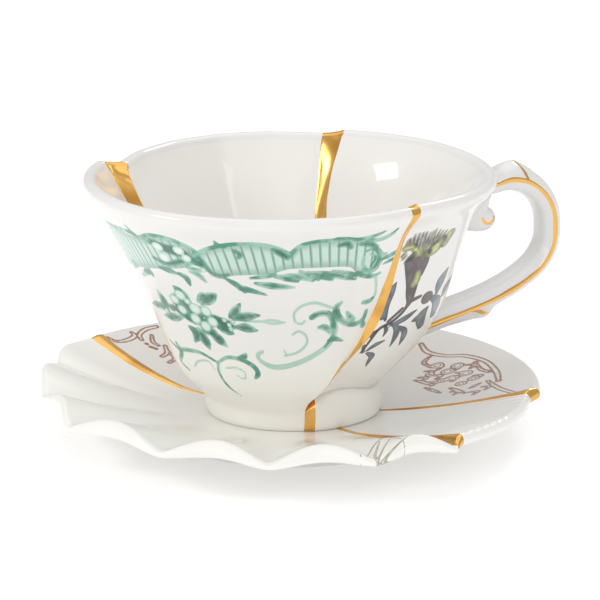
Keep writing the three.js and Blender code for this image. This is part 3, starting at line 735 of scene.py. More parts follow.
# %% Slate leaves
slate_strokes = [
    [(-34.9, 37.3, 0.3), (-36.3, 32.3, 1.3), (-34.8, 27.7, 1.2), (-33.3, 24.8, 0.1)],
    [(-36.9, 36.3, 0.5), (-37.6, 34.2, 0.9), (-37.8, 35.1, 0.3)],
    [(-31.2, 39.9, 0.2), (-24.1, 38.6, 1), (-18.1, 36.4, 0.1)],
    [(-31.6, 38.8, 0.2), (-27.4, 41.5, 0.7), (-25, 45.2, 1), (-24.7, 50.4, 0.1)],
    [(-26.8, 41.1, 0.3), (-20.9, 43.7, 0.8), (-18.7, 47, 0.9), (-18.1, 50.7, 0.1)],
    [(-38.8, 49.6, 0.3), (-35.4, 47.7, 1), (-30.4, 46.4, 0.1)],
    [(-40.5, 50.7, 0.3), (-41.5, 46.8, 0.7), (-41.8, 46.8, 0.2)],
    [(-38.1, 51, 0.4), (-33.3, 53.8, 1.1), (-32.9, 56.7, 0.8), (-32.1, 59.8, 0.1)],
    [(-39.6, 43, 0.3), (-40, 42.1, 0.6), (-37.1, 40.6, 0.3)],
    [(-34.2, 39.4, 0.3), (-32.5, 41.8, 0.6), (-32.9, 44, 0.1)],
    [(-6.4, 32.9, 0.3), (-5.5, 28.8, 1.3), (-1.7, 25.3, 0.1)],
    [(1.4, 34.9, 0.3), (3.8, 32.1, 1), (11.5, 30, 0.1)],
    [(-9.3, 33.7, 0.6), (-4.1, 35.7, 1.3), (-0.9, 41.3, 0.8)],
    [(-10.5, 36.8, 0.3), (-12.8, 39.4, 1.6), (-8.5, 44.4, 0.9)],
    [(-17.8, 40.5, 0.3), (-15.4, 39.9, 1), (-11.7, 38.1, 0.5)],
]
print(len(slate_strokes), "slate leaves")

# %% [markdown]
# The green print is measured as seen from in front of its middle, and so is the spray. Between
# the two lies the front seam, where both end.

# %% Where the strokes lie on the bowl
def on_shard(shard_number, distances):
    return np.where(bowl_shard == shard_number, distances, unpainted)


green_front, spray_front = 46, -73
border_end = 78.5
flat_places = bowl_flat[:, :-1]
flat_across, flat_down = flat_places[..., 0], flat_places[..., 1]
border = np.maximum(border_top(flat_across) - flat_down, flat_down - border_foot(flat_across))
border = np.where(flat_across < border_end, border, unpainted)
bowl_fields = {"border": on_shard(print_zone, border)}
green_strokes = {"rail": rail_strokes, "leaf": leaf_strokes, "wash": wash_strokes, "dark": dark_strokes,
                 "blank": blank_strokes, "petal": petal_strokes, "ground": ground_strokes}
spray_strokes = {"body": body_strokes, "mouth": gold_green_strokes, "fringe": fringe_strokes,
                 "slate": slate_strokes}
for shard_number, front, kinds in ((print_zone, green_front, green_strokes),
                                   (sprig_zone, spray_front, spray_strokes)):
    for field, strokes in kinds.items():
        bowl_fields[field] = on_shard(shard_number, ink(flat_places, strokes, front))
outer = (np.arange(len(bowl_stations)) <= lip_row)[:, None]
bowl_fields = {field: np.where(outer, values, unpainted) for field, values in bowl_fields.items()}
for field, values in bowl_fields.items():
    print(f"{field}: {(values < 0).sum()} places painted")

# %% [markdown]
# Each face takes the finish of its shard, or gold where a seam runs. Inside the bowl all shards
# have the same creamy glaze, and what is hidden under the foot is plain.

# %% Zones of the bowl
def face_zones(stations, shard_of_column, gold):
    """Row by row the number of the shard that a face lies on, or the gold's number on a seam."""
    beside = np.roll(shard_of_column, -1)
    on_gold = (shard_of_column == -1) | (beside == -1)
    return np.tile(np.where(on_gold, gold, shard_of_column), (len(stations) - 1, 1))


def sides_of(stations):
    return np.array([each.side for each in stations[:-1]])[:, None]


bowl_zones = face_zones(bowl_stations, bowl_shard, gold_zone)
bowl_sides = sides_of(bowl_stations)
bowl_zones = np.where((bowl_sides == inside) & (bowl_zones != gold_zone), inside_zone, bowl_zones)
bowl_zones = np.where(bowl_sides == hidden, plain_zone, bowl_zones)
print("faces of each finish:", np.bincount(bowl_zones.ravel()))
bowl = wrapped("bowl", cup_finishes, bowl_places, bowl_zones, bowl_flat, bowl_fields)

# %% [markdown]
# ## The handle
#
# A strap handle is pressed in its own mould and stuck to the bowl with slip before firing. Its
# middle line is a smooth curve through a few points, set down as shares of its reach and rise.
# The section is the same all along: widest on a ridge along each side, a round back, a flatter
# inner side. Only its width and thickness change, and both are short curves again. Two more
# short curves raise the back into a crest near the top and a spur near the lower joint.

# %% The line of the strap
handle_reach, strap_width, strap_thickness = 88.9, 11, 7.4
handle_top_drop, handle_rise, volute_width = 7, 43.5, 8.4
handle_u = 0.58


def wall_radius_at(height):
    top, bottom = cup_height - lip_radius, sprig_shard.waist_height
    radius, _ = wall_point(sprig_shard, handle_u, (height - bottom) / (top - bottom))
    return float(radius)


loop_top = cup_height - handle_top_drop
loop_bottom = loop_top - handle_rise
loop_left, loop_right = wall_radius_at(loop_bottom), handle_reach - strap_thickness / 2
upper_root, lower_root = loop_top - 2.6, loop_bottom - 1.6
loop_shares = [(0.45, 0.955), (0.57, 0.965), (0.685, 0.99), (0.81, 0.96), (0.918, 0.872),
               (0.98, 0.76), (1, 0.625), (0.985, 0.485), (0.915, 0.362), (0.79, 0.262),
               (0.625, 0.176), (0.434, 0.108), (0.217, 0.048), (0.06, 0.005)]
loop_points = np.array([
    (wall_radius_at(upper_root) - cup_wall, upper_root),
    *[(mix(loop_left, loop_right, out), mix(loop_bottom, loop_top, up)) for out, up in loop_shares],
    (wall_radius_at(lower_root) - cup_wall, lower_root),
])
print(f"the loop reaches {loop_points[:, 0].max():.1f} mm from the axis")

# %% A smooth line at even steps
def smooth_line(points, count):
    """A centripetal Catmull-Rom curve through the points, at count places of even spacing."""
    ends = [2 * points[0] - points[1], *points, 2 * points[-1] - points[-2]]
    dense = []
    for p0, p1, p2, p3 in zip(ends, ends[1:], ends[2:], ends[3:]):
        d0, d1, d2 = [math.sqrt(np.linalg.norm(b - a)) for a, b in ((p0, p1), (p1, p2), (p2, p3))]
        slope1 = ((p1 - p0) / d0 - (p2 - p0) / (d0 + d1) + (p2 - p1) / d1) * d1
        slope2 = ((p2 - p1) / d1 - (p3 - p1) / (d1 + d2) + (p3 - p2) / d2) * d1
        t = np.linspace(0, 1, 40, endpoint=False)[:, None]
        start = (1 + 2 * t) * (1 - t) ** 2 * p1 + t * (1 - t) ** 2 * slope1
        dense.append(start + t * t * (3 - 2 * t) * p2 + t * t * (t - 1) * slope2)
    dense = np.concatenate([*dense, points[-1:]])
    length = np.concatenate([[0], np.cumsum(np.linalg.norm(np.diff(dense, axis=0), axis=1))])
    at = np.linspace(0, length[-1], count)
    return np.stack([np.interp(at, length, dense[:, i]) for i in range(2)], axis=1), length[-1]


strap_line, strap_length = smooth_line(loop_points, 161)
print(f"strap {strap_length:.1f} mm long")

# %% The section of the strap
section = np.array([(1, 0.1), (0.88, 0.52), (0.55, 0.86), (0, 1), (-0.55, 0.86), (-0.88, 0.52),
                    (-1, 0.1), (-0.86, -0.42), (-0.62, -0.84), (0, -1), (0.62, -0.84), (0.86, -0.42)])
section_steps = 4


def round_section(points, steps):
    """A closed Catmull-Rom curve: steps places between each two points."""
    before, after, later = [np.roll(points, -i, axis=0) for i in (-1, 1, 2)]
    places = []
    for t in np.arange(steps) / steps:
        places.append(0.5 * (2 * points + (after - before) * t
                             + (2 * before - 5 * points + 4 * after - later) * t**2
                             + (3 * points - before - 3 * after + later) * t**3))
    return np.stack(places, axis=1).reshape(-1, 2)


thickness_along = curve_through((0, 0.9), (0.12, 0.92), (0.2, 1.08), (0.32, 1), (0.7, 0.98), (1, 1.15))
width_along = curve_through((0, 1.25), (0.15, 1.05), (0.6, 0.98), (0.9, 1.05), (1, 1.25))
crest_along = curve_through((0.16, 0), (0.19, 0.36), (0.21, 0.22), (0.25, 0))
spur_along = curve_through((0.6, 0), (0.69, 0.1), (0.71, 0.78), (0.76, 0.5), (0.86, 0.1), (0.95, 0))
print(len(round_section(section, section_steps)), "places round the strap")

# %% The strap's skin
def strap_rows():
    """The section at each place of the line, wider near the wall, where clay is smeared on."""
    shape = round_section(section, section_steps)
    across, out = shape.T
    tangent = np.gradient(strap_line, axis=0)
    tangent /= np.linalg.norm(tangent, axis=1)[:, None]
    raised = np.where(out > 0.6, 1 - np.abs(across), 0)
    rows = []
    for i, (place, (tx, tz)) in enumerate(zip(strap_line, tangent)):
        t = i / (len(strap_line) - 1)
        clear = max(place[0] - wall_radius_at(place[1]), 0)
        flare = math.exp(-clear**2 / 5)
        half_width = strap_width / 2 * width_along(t) * (1 + 0.16 * flare)
        half_thickness = strap_thickness / 2 * thickness_along(t) * (1 + 0.2 * flare)
        offset = half_thickness * (out + (spur_along(t) + crest_along(t)) * raised)
        x = axis_x + place[0] - tz * offset
        z = cup_base + place[1] + tx * offset
        rows.append(np.stack([x, axis_y + across * half_width, z], axis=1))
    return np.array(rows)


def closed(rows):
    """Puts a row that is one point at each end."""
    first, last = [np.repeat(row.mean(0)[None], len(row), axis=0) for row in (rows[0], rows[-1])]
    return np.concatenate([first[None], rows, last[None]])


strap_places = closed(strap_rows())
half_round = len(section) / 2
around = np.linspace(-half_round, half_round, strap_places.shape[1] + 1)
lengthways = np.linspace(0, strap_length, len(strap_line))
lengthways = np.concatenate([[0], lengthways, [strap_length]])
strap_flat = np.stack(np.meshgrid(around, lengthways), axis=2)
strap_zones = np.full((len(strap_places) - 1, strap_places.shape[1]), handle_zone)
strap = wrapped("strap", cup_finishes, strap_places, strap_zones, strap_flat)

# %% [markdown]
# ## The volute
#
# Under the upper joint hangs a small scroll, a drop that is pressed flat at both sides. Its
# outline is three curves in the upright plane of the handle, and it shrinks towards its sides.

# %% The volute
def bezier(*points):
    """A curve from the first point to the last, without the first."""
    t = np.linspace(0, 1, 13)[:, None]
    points = [np.array(point, float) for point in points]
    while len(points) > 1:
        points = [mix(a, b, t) for a, b in zip(points, points[1:])]
    return points[0][1:]


neck = wall_radius_at(loop_top - 7)
volute_start = (neck - cup_wall, loop_top - 4)
volute_outline = np.concatenate([
    bezier(volute_start, (neck + 12.5, loop_top - 3)),
    bezier((neck + 12.5, loop_top - 3), (neck + 11, loop_top - 6.5), (neck + 11, loop_top - 8.6)),
    bezier((neck + 11, loop_top - 8.6), (neck + 15.2, loop_top - 11), (neck + 14.6, loop_top - 16.8),
           (neck + 7.5, loop_top - 16.4)),
    bezier((neck + 7.5, loop_top - 16.4), (neck + 2, loop_top - 16),
           (neck - cup_wall - 1, loop_top - 12.5)),
    bezier((neck - cup_wall - 1, loop_top - 12.5), volute_start),
])
volute_centre = np.array([neck + 5.5, loop_top - 11])


def volute_row(turn):
    outline = mix(volute_centre, volute_outline, max(math.cos(turn), 0) ** 0.4)
    y = axis_y + 0 * outline[:, 0] + volute_width / 2 * math.sin(turn)
    return np.stack([axis_x + outline[:, 0], y, cup_base + outline[:, 1]], axis=1)


volute_places = np.array([volute_row(turn) for turn in np.linspace(-90, 90, 25) * degree])
volute_sheet = np.concatenate([volute_places, volute_places[:, :1]], axis=1)
volute_flat = volute_sheet[:, :, [0, 2]] - volute_centre - (axis_x, cup_base)
volute_zones = np.full((len(volute_places) - 1, volute_places.shape[1]), volute_zone)
volute = wrapped("volute", cup_finishes, volute_places, volute_zones, volute_flat)

# %% [markdown]
# ## Joining handle and bowl
#
# The strap and the scroll run on into the wall, so that no gap opens at the slanted joint. What
# would come out inside the bowl is cut off first, with a plug whose skin lies in the middle of
# the wall. Then one Boolean union makes bowl, strap and scroll a single skin, as it is in clay.

# %% Boolean helpers
def applied(piece, kind, **settings):
    make_active(piece)
    modifier = piece.modifiers.new(kind.title(), kind)
    for name, value in settings.items():
        setattr(modifier, name, value)
    bpy.ops.object.modifier_apply(modifier=modifier.name)


def combine(piece, other, operation):
    applied(piece, "BOOLEAN", object=other, operation=operation, solver="EXACT")
    deselect()
    other.select_set(True)
    bpy.ops.object.delete()
    print(piece.name, operation.lower(), "with the other has", len(piece.data.polygons), "faces")

# %% The plug and the cup
plug_depth = 0.6 * cup_wall
plug_stations = [cup_station(0, level_point(0, 6)),
                 *[cup_station(share, lambda s, u, t=share: wall_inside(s, u, t, plug_depth))
                   for share in np.linspace(0.05, 1, 24)],
                 cup_station(1, level_point(0, cup_height + 4))]
plug_places, _ = skin_round(cup_shards, cup_seams, plug_stations)
plug_zones = np.full((len(plug_stations) - 1, len(bowl_shard)), sprig_zone)
plug = wrapped("plug", cup_finishes, plug_places, plug_zones)
combine(strap, volute, "UNION")
combine(strap, plug, "DIFFERENCE")
combine(bowl, strap, "UNION")
cup = bowl
cup.name = cup.data.name = "cup_visual"
print("cup", len(cup.data.polygons), "faces,", len(cup.data.materials), "materials")

# %% [markdown]
# ## The saucer
#
# The saucer has three shards too. The one in front is fluted like a shell: its flutes spread
# from a point beside the middle, and its rim waves up and down and in and out with them. A
# narrow shard follows, with fine ripples at its rim, and a wide smooth one.

# %% Sizes of the saucer
saucer_radius, saucer_wall = 74.85, 3.8
well_step, well_margin, rim_rise = 0.7, 7.2, 8.2
stand_radius, stand_width, stand_recess = 36.5, 3.2, 3.3
flute_depth, under_depth, flute_reach = 4.6, 1.2, 3
well_radius = foot_radius + well_margin
stand_inner = stand_radius - stand_width

back_gold = seam([(0, 130), (0.3, 128), (1, 122)], [(0, 1.2), (0.3, 2.8), (1, 4)], 0.06, 2)
right_gold = seam([(0, -29), (0.5, -32), (1, -32)], [(0, 1.6), (0.8, 1.8), (1, 4.5)], 0.12, 5)
front_gold = seam([(0, -81), (0.5, -77), (1, -73)], [(0, 1.8), (0.8, 2.2), (1, 4.5)], 0.12, 3)
print(f"saucer {2 * saucer_radius} mm wide, its well {2 * well_radius:.1f} mm")

# %% [markdown]
# The flutes start at one point on the saucer, like the ribs of a scallop shell, and not at its
# axis. So a flute is counted by its angle as seen from that point, and that angle is then turned
# into a place on the rim.

# %% Flutes of the shell
shell_point = np.array([27.6, -11.7])
shell_start, shell_turn = 130.3, 134.7


def rim_angle(shell_angle):
    """The place on the rim, seen from the middle, that lies that way from the shell's point."""
    way = np.array([np.cos(shell_angle * degree), np.sin(shell_angle * degree)])
    along = shell_point @ way
    reach = -along + np.sqrt(along**2 - shell_point @ shell_point + saucer_radius**2)
    x, y = shell_point[:, None] + reach * way
    return np.arctan2(y, x) / degree % 360


shell_t = np.linspace(0, 1, 241)
shell_angles = shell_start + shell_turn * shell_t
shell_rim = rim_angle(shell_angles)
shell_u = (shell_rim - shell_rim[0]) / (shell_rim[-1] - shell_rim[0])
flute_turns = curve_through((130.3, -1.5), (146, -0.5), (162.5, 0.5), (178.5, 1.5), (201, 2.5),
                            (221.5, 3.5), (243.1, 4.5), (265, 5.5))(shell_angles)
flute_amount = curve_through((130.3, 0), (135, 0.1), (142, 0.5), (150, 0.8), (180, 1))(shell_angles)
scallop_amount = curve_through((130.3, 0), (140, -0.2), (146, -0.5), (155, -0.3), (165, 0.5),
                               (178, 1))(shell_angles)
trough_round = 0.12
arch = np.hypot(np.cos(math.pi * flute_turns), trough_round) - trough_round
arch = arch / (math.hypot(1, trough_round) - trough_round)
flute_wave = 1 - 2 * (1 - arch) * flute_amount
flute_scallop = np.cos(2 * math.pi * flute_turns) * scallop_amount
shell_lift = curve_through((0, -0.3), (0.07, 1), (0.13, 1.9), (0.19, 1.8), (0.27, 0.8), (0.35, -0.1),
                           (0.57, 0), (0.75, -0.7), (1, -0.4))
shell_swell = curve_through((0, 2.2), (0.06, 2), (0.12, 0.3), (0.19, 0.6), (0.25, 0.5), (0.3, 0.2),
                            (0.42, 0.1), (0.57, 0.4), (0.75, 1), (1, 0.8))
narrow_reach = curve_through((0, -0.4), (0.5, -0.8), (1, -2.4))
print("flutes:", int(flute_turns[-1] - flute_turns[0]))

# %% The shards of the saucer
narrow_u, smooth_u = np.linspace(0, 1, 61), np.linspace(0, 1, 261)
ripple_count, ripple_height = 13, 0.13
narrow_ripple = ripple_height * np.sin(narrow_u * ripple_count * 2 * math.pi) * (1 + np.sin(7 * narrow_u))
shell_shard = SimpleNamespace(u=shell_u, wave=flute_wave, scallop=flute_scallop, ripple=0 * shell_u,
                              rise=lambda u: rim_rise + shell_lift(u),
                              reach=lambda u: saucer_radius + shell_swell(u))
narrow_shard = SimpleNamespace(u=narrow_u, wave=0 * narrow_u, scallop=0 * narrow_u,
                               ripple=narrow_ripple, rise=level(rim_rise - 0.6),
                               reach=lambda u: saucer_radius + narrow_reach(u))
smooth_shard = SimpleNamespace(u=smooth_u, wave=0 * smooth_u, scallop=0 * smooth_u, ripple=0 * smooth_u,
                               rise=lambda u: rim_rise + 0.3 + 2.2 * u * u,
                               reach=lambda u: saucer_radius + 0.8 * u)


print(f"rim {smooth_shard.rise(1):.1f} mm high at the end of the smooth shard")

# %% The dish and its rim
def dish_point(shard, share, depth, below):
    """A place on the dish, a depth of flute and so far below the top. The flutes fade inwards."""
    fade = share**1.6 / 2
    radius = mix(well_radius, shard.reach(shard.u) - saucer_wall / 2, share)
    height = well_height + well_step + shard.rise(shard.u) * share**1.25
    height = height - below + fade * depth * shard.wave
    return radius - fade * flute_reach * shard.scallop, height


def dish_top(shard, share):
    radius, height = dish_point(shard, share, flute_depth, 0)
    near_rim = max((share - 0.55) / 0.45, 0) ** 1.5
    return radius, height + near_rim * shard.ripple


def dish_under(shard, share):
    return dish_point(shard, share, under_depth, saucer_wall)


def rim_point(shard, turn):
    radius, high = dish_top(shard, 1)
    _, low = dish_under(shard, 1)
    return radius + saucer_wall / 2 * math.cos(turn), mix(low, high, (1 + math.sin(turn)) / 2)


edge_radius, _ = rim_point(shell_shard, 0)
print(f"the shell's edge is {edge_radius.min():.1f} to {edge_radius.max():.1f} mm from the axis")

# %% Stations of the saucer
stand_profile = [*[(radius, stand_recess) for radius in (0, 10, 20, 29, stand_inner - 1.4)],
                 (stand_inner - 1, stand_recess - 0.4), (stand_inner - 0.1, 0.4), (stand_inner + 0.4, 0),
                 (stand_radius - 0.4, 0), (stand_radius + 0.1, 0.4)]
well_profile = [(well_radius - 0.6, well_height + 0.25),
                *[(radius, well_height) for radius in (well_radius - 1.5, 27, 20, 12, 5, 0)]]
saucer_stations = [
    *[station(0, level_point(*place), side=hidden) for place in stand_profile],
    station(0.03, level_point(stand_radius + 0.9, stand_recess - 0.4), side=hidden),
    station(0.05, level_point(stand_radius + 1.6, stand_recess), side=hidden),
    *[station(share, lambda s, u, t=share: dish_under(s, t), side=hidden)
      for share in np.linspace(0.25, 1, 22)],
    *[station(1, lambda s, u, t=turn: rim_point(s, t), bead=-gold_bead * math.cos(turn))
      for turn in np.linspace(-80, 80, 15) * degree],
    *[station(share, lambda s, u, t=share: dish_top(s, t), rise=gold_bead)
      for share in np.linspace(1, 0, 62)],
    *[station(0, level_point(*place)) for place in well_profile],
]
step_row = len(saucer_stations) - len(well_profile) - 1
print(len(saucer_stations), "stations, the well begins at", step_row)

# %% [markdown]
# The smooth shard carries scrolls and flowers in sepia, and the shell a small leaf sketch. These
# strokes are set out in plan, from the saucer's middle.

# %% Strokes of the saucer
curls = [
    (45.3, -2.4), (48.8, 1.6), (51.3, -4.4), (54.8, -2.4), (57.3, -9.4), (46.3, -16.4), (49.8, -22.4),
    (54.3, -21.4), (59.8, 0.6), (48.3, 6.6), (52.3, 8.1), (55.8, 3.1), (44.8, 3.6),
]
discs = [
    (53.7, 11.2, 1.8), (53.9, 4.3, 1.9), (58.1, 6, 1.8), (52.6, -2, 1.9), (57.2, -1.9, 1.9),
    (56.8, -8.1, 1.6), (49.6, -1.1, 1.4), (49, 6.7, 1.2), (52.3, -8.8, 1.6),
]
sepia_strokes = [[(x, y, 0.3), (x + 2.3, y + 1.6, 0.5), (x + 0.6, y + 3.4, 0.25)] for x, y in curls]
sepia_strokes += [[disc] for disc in discs]
sepia_strokes += [
    [(56.4, 29.3, 0.5), (55.6, 22.6, 0.7), (58.5, 16, 0.6), (63, 10.9, 0.7), (65.5, 1.9, 0.6),
     (64, -8.9, 0.7), (60.5, -18.2, 0.5)],
    [(58.5, -14.5, 0.4), (57.3, -25.5, 0.6), (57.8, -38.1, 0.5), (59.5, -42.9, 0.3)],
    [(54.7, 19, 0.3), (51.5, 16.5, 0.5), (51.6, 11.4, 0.3)],
    [(63.1, 4, 0.3), (61.7, -3.2, 0.5), (62.3, -7.6, 0.4)],
    [(43.6, 6, 0.2), (45, 1.6, 0.6), (45.7, -2.3, 0.2)],
    [(43.2, -2.4, 0.2), (43.8, -6.4, 0.5), (44.3, -10.7, 0.2)],
    [(48.3, -9.3, 0.2), (48.7, -13.7, 0.6), (49, -18.4, 0.2)],
    [(52.1, -15.4, 0.2), (54.1, -14.8, 0.5), (56.1, -14.2, 0.2)],
    [(-36.5, 61.9, 0.3), (-34.3, 59.7, 0.5), (-30.6, 60.8, 0.6), (-26.6, 64, 0.6), (-27, 65.9, 0.4)],
    [(-25.3, 61.5, 0.5), (-25, 64.4, 0.5), (-21.8, 67.8, 0.6), (-17.2, 69.7, 0.5)],
    [(-20.8, 64.5, 0.3), (-22, 60, 0.5), (-21, 58.1, 0.4)],
    [(-24.6, 59, 0.4)],
    [(-23.9, 57.1, 0.4), (-22.6, 56, 0.4)],
    [(-18.8, 57.9, 0.4), (-20.1, 53.1, 0.5), (-22.6, 51, 0.4)],
    [(-19.2, 54.1, 0.4), (-18.7, 49.8, 0.4), (-21.7, 47, 0.4)],
]
sketch_strokes = [
    [(-1.1, -47.8, 0.2), (8.5, -42.3, 0.3), (12.8, -50.5, 0.15)],
    [(-11, -75.5, 0.2), (3.4, -58.9, 0.3), (13.2, -54.9, 0.1)],
    [(-11.1, -79.7, 0.15), (-2.9, -76.3, 0.3), (6.1, -72, 0.1)],
    [(-9.3, -82, 0.15), (-4.4, -74.5, 0.3), (10.6, -55.3, 0.1)],
    [(8.8, -49.5, 0.1), (4.5, -63.4, 0.35), (3.1, -75.1, 0.1)],
    [(-6.4, -79, 0.3), (-5.4, -73.3, 0.4), (0.9, -62.6, 0.2)],
]

print(len(sepia_strokes), "sepia strokes and", len(sketch_strokes), "of the sketch")

# %% The saucer's skin
saucer_shards = [smooth_shard, shell_shard, narrow_shard]
saucer_seams = [right_gold, back_gold, front_gold]
saucer_places, _ = skin_round(saucer_shards, saucer_seams, saucer_stations)
saucer_shard = columns_by_shard(saucer_shards)
every_column = slice(None)
soften(saucer_places, range(step_row - 4, step_row + 4), every_column, 40)
saucer_zones = face_zones(saucer_stations, saucer_shard, saucer_gold_zone)
saucer_zones = np.where(sides_of(saucer_stations) == hidden, under_zone, saucer_zones)
plan = saucer_places[..., :2] - (axis_x, axis_y)
top_side = np.array([each.side != hidden for each in saucer_stations])[:, None]
saucer_fields = {
    field: np.where(top_side & (saucer_shard == shard_number), ink(plan, strokes), unpainted)
    for field, shard_number, strokes in (("sepia", smooth_zone, sepia_strokes),
                                         ("sketch", shell_zone, sketch_strokes))
}
saucer = wrapped("saucer_visual", saucer_finishes, saucer_places, saucer_zones, fields=saucer_fields)

# %% [markdown]
# ## Shader maths in plain Python
#
# Glaze, gold and prints are drawn with nodes. A chain of Math nodes is hard to read, so one
# small class wraps a socket: `+`, `-`, `*` and the rest add the node that does it.

# %% A socket that can be reckoned with
class Wire:
    def __init__(self, finish, socket):
        self.finish, self.socket = finish, socket

    def math(self, operation, *others):
        return self.finish.math(operation, self, *others)

    def __add__(self, other):
        return self.math("ADD", other)

    def __radd__(self, other):
        return self.math("ADD", other)

    def __sub__(self, other):
        return self.math("SUBTRACT", other)

    def __rsub__(self, other):
        return self.finish.math("SUBTRACT", other, self)

    def __mul__(self, other):
        return self.math("MULTIPLY", other)

    def __rmul__(self, other):
        return self.math("MULTIPLY", other)

    def __truediv__(self, other):
        return self.math("DIVIDE", other)

    def __rtruediv__(self, other):
        return self.finish.math("DIVIDE", other, self)

    def __abs__(self):
        return self.math("ABSOLUTE")


# %% [markdown]
# A finish is a material whose nodes are added by one method, `node`. `place` is where a point
# lies on the piece, `base` the colour that has been painted so far, and `lay` puts the next
# tone over it, as a decorator lays one colour over another.

# %% A finish and its nodes
class Finish:
    def __init__(self, name):
        self.material = bpy.data.materials[name]
        self.material.use_nodes = True
        self.tree = self.material.node_tree
        self.tree.nodes.clear()
        self.shader = self.tree.nodes.new("ShaderNodeBsdfPrincipled")
        output = self.tree.nodes.new("ShaderNodeOutputMaterial")
        self.tree.links.new(self.shader.outputs[0], output.inputs["Surface"])
        self.place = self.node("TexCoord", output=3)

    def fill(self, socket, value):
        if isinstance(value, Wire):
            self.tree.links.new(value.socket, socket)
        else:
            socket.default_value = value

    def node(self, kind, settings=None, sockets=None, output=0):
        node = self.tree.nodes.new("ShaderNode" + kind)
        for name, value in (settings or {}).items():
            setattr(node, name, value)
        for name, value in (sockets or {}).items():
            self.fill(node.inputs[name], value)
        return Wire(self, node.outputs[output])

    def math(self, operation, *values):
        return self.node("Math", {"operation": operation}, dict(enumerate(values)))

    def larger(self, first, second):
        return self.math("MAXIMUM", first, second)

    def blend(self, base, top, amount):
        return self.node("Mix", {"data_type": "RGBA"}, {0: amount, 6: base, 7: top}, output=2)

    def lay(self, tone, amount):
        """Lays a tone over what is painted so far."""
        self.base = self.blend(self.base, tone, amount)

    def noise(self, scale, detail=1.0):
        return self.node("TexNoise", sockets={"Vector": self.place, "Scale": scale, "Detail": detail})

    def parts(self, vector):
        """The three numbers of a vector."""
        first = self.node("SeparateXYZ", sockets={0: vector})
        return [Wire(self, socket) for socket in first.socket.node.outputs]

    def flat_map(self):
        return self.node("UVMap", {"uv_map": "print"})

    def field(self, name):
        """The distance that is stored on the mesh under this name."""
        return self.node("Attribute", {"attribute_name": name}, output=2)

    def step(self, value, start, end):
        """0 up to the start and 1 from the end on, smooth between them."""
        settings = {"interpolation_type": "SMOOTHSTEP"}
        sockets = {"Value": value, "From Min": start, "From Max": end}
        return self.node("MapRange", settings, sockets)

    def painted(self, distance, soft, grow=0.0):
        """1 inside the strokes and 0 outside, with a soft edge, the strokes grown by some mm."""
        return self.step(distance, grow + soft, grow - soft)

    def surface(self, **sockets):
        for name, value in sockets.items():
            self.fill(self.shader.inputs[name.replace("_", " ")], value)


# %% [markdown]
# ## Glaze
#
# Porcelain is white clay under clear glass. The glass is the shader's coat, smooth and sharp in
# its reflections, and what is under it is duller. Towards the foot the colour turns warmer and
# lighter; the lightness is painted light, which lifts the shade on the lower wall and on the
# saucer. No fired surface is quite even: a slow noise tints it, and a low bump makes the
# reflections waver.

# %% Glaze
# Heights between which the painted light near the foot fades in.
foot_light_top, foot_light_low = 52 * mm, 14 * mm
dull_roughness, coat_weight = 0.35, 0.75


def porcelain(name, colour, foot_light):
    """White glaze under a clear coat. The third number is how much of the foot's painted light, a lighter
    and warmer tint, it takes.
    """
    finish = Finish(name)
    height = finish.parts(finish.place)[2]
    finish.base = (*colour, 1)
    # Painted light: a lighter, warmer tint that grows towards the foot.
    finish.lay((0.97, 0.95, 0.88, 1), finish.step(height, foot_light_top, foot_light_low) * foot_light)
    finish.lay((0.89, 0.88, 0.85, 1), finish.noise(28, 2) * 0.3)
    wave = {"Strength": 0.25, "Distance": 0.6 * mm, "Height": finish.noise(55)}
    finish.surface(Roughness=dull_roughness, Normal=finish.node("Bump", sockets=wave),
                   Coat_Weight=coat_weight, Coat_Roughness=0.03, Specular_IOR_Level=0.3)
    return finish


plain_colour = (0.83, 0.82, 0.80)
for name, colour, foot_light in (("plain_glaze", plain_colour, 1.0), ("inner_glaze", (0.88, 0.86, 0.82), 0.1),
                           ("narrow_glaze", (0.87, 0.86, 0.835), 0.2), ("under_glaze", plain_colour, 0.2)):
    glaze = porcelain(name, colour, foot_light)
    glaze.surface(Base_Color=glaze.base)
    print(name, "has", len(glaze.tree.nodes), "nodes")

# %% [markdown]
# ## Gold
#
# Bright gold is brushed on over the fired glaze, so it has the metal's colour and the brush's
# streaks. Where it pooled it is darker. On the seams the whole face is gold. On the handle the
# gold is a thin line, and `gilded` turns the glaze into metal only there.

# %% Gold
gold_colour = (0.80, 0.46, 0.13, 1)
pooled_gold = (0.62, 0.29, 0.06, 1)

gold = Finish("seam_gold")
brush_marks = gold.noise(130, 2)
streaks = {"Strength": 0.4, "Distance": 0.5 * mm, "Height": brush_marks}
gold.surface(Base_Color=gold.blend(gold_colour, pooled_gold, gold.step(gold.noise(60), 0.52, 0.7)),
             Metallic=1.0, Roughness=0.14 + brush_marks * 0.16, Normal=gold.node("Bump", sockets=streaks))


def gilded(finish, amount):
    """Gold lustre over a glaze, where the amount is 1."""
    finish.lay(gold_colour, amount)
    finish.surface(Base_Color=finish.base, Metallic=amount, Roughness=dull_roughness - amount * 0.17,
                   Coat_Weight=coat_weight - amount * coat_weight)


print("seam_gold has", len(gold.tree.nodes), "nodes")

# %% [markdown]
# ## The green print's material
#
# The transfer is laid in the order in which a decorator would think of it: the ribbed ground of
# the border, then thin washes, rails, dark touches, leaves, and at last petals and white beads.
# Two noises break up the flat tones, as ink on a curved wall does.

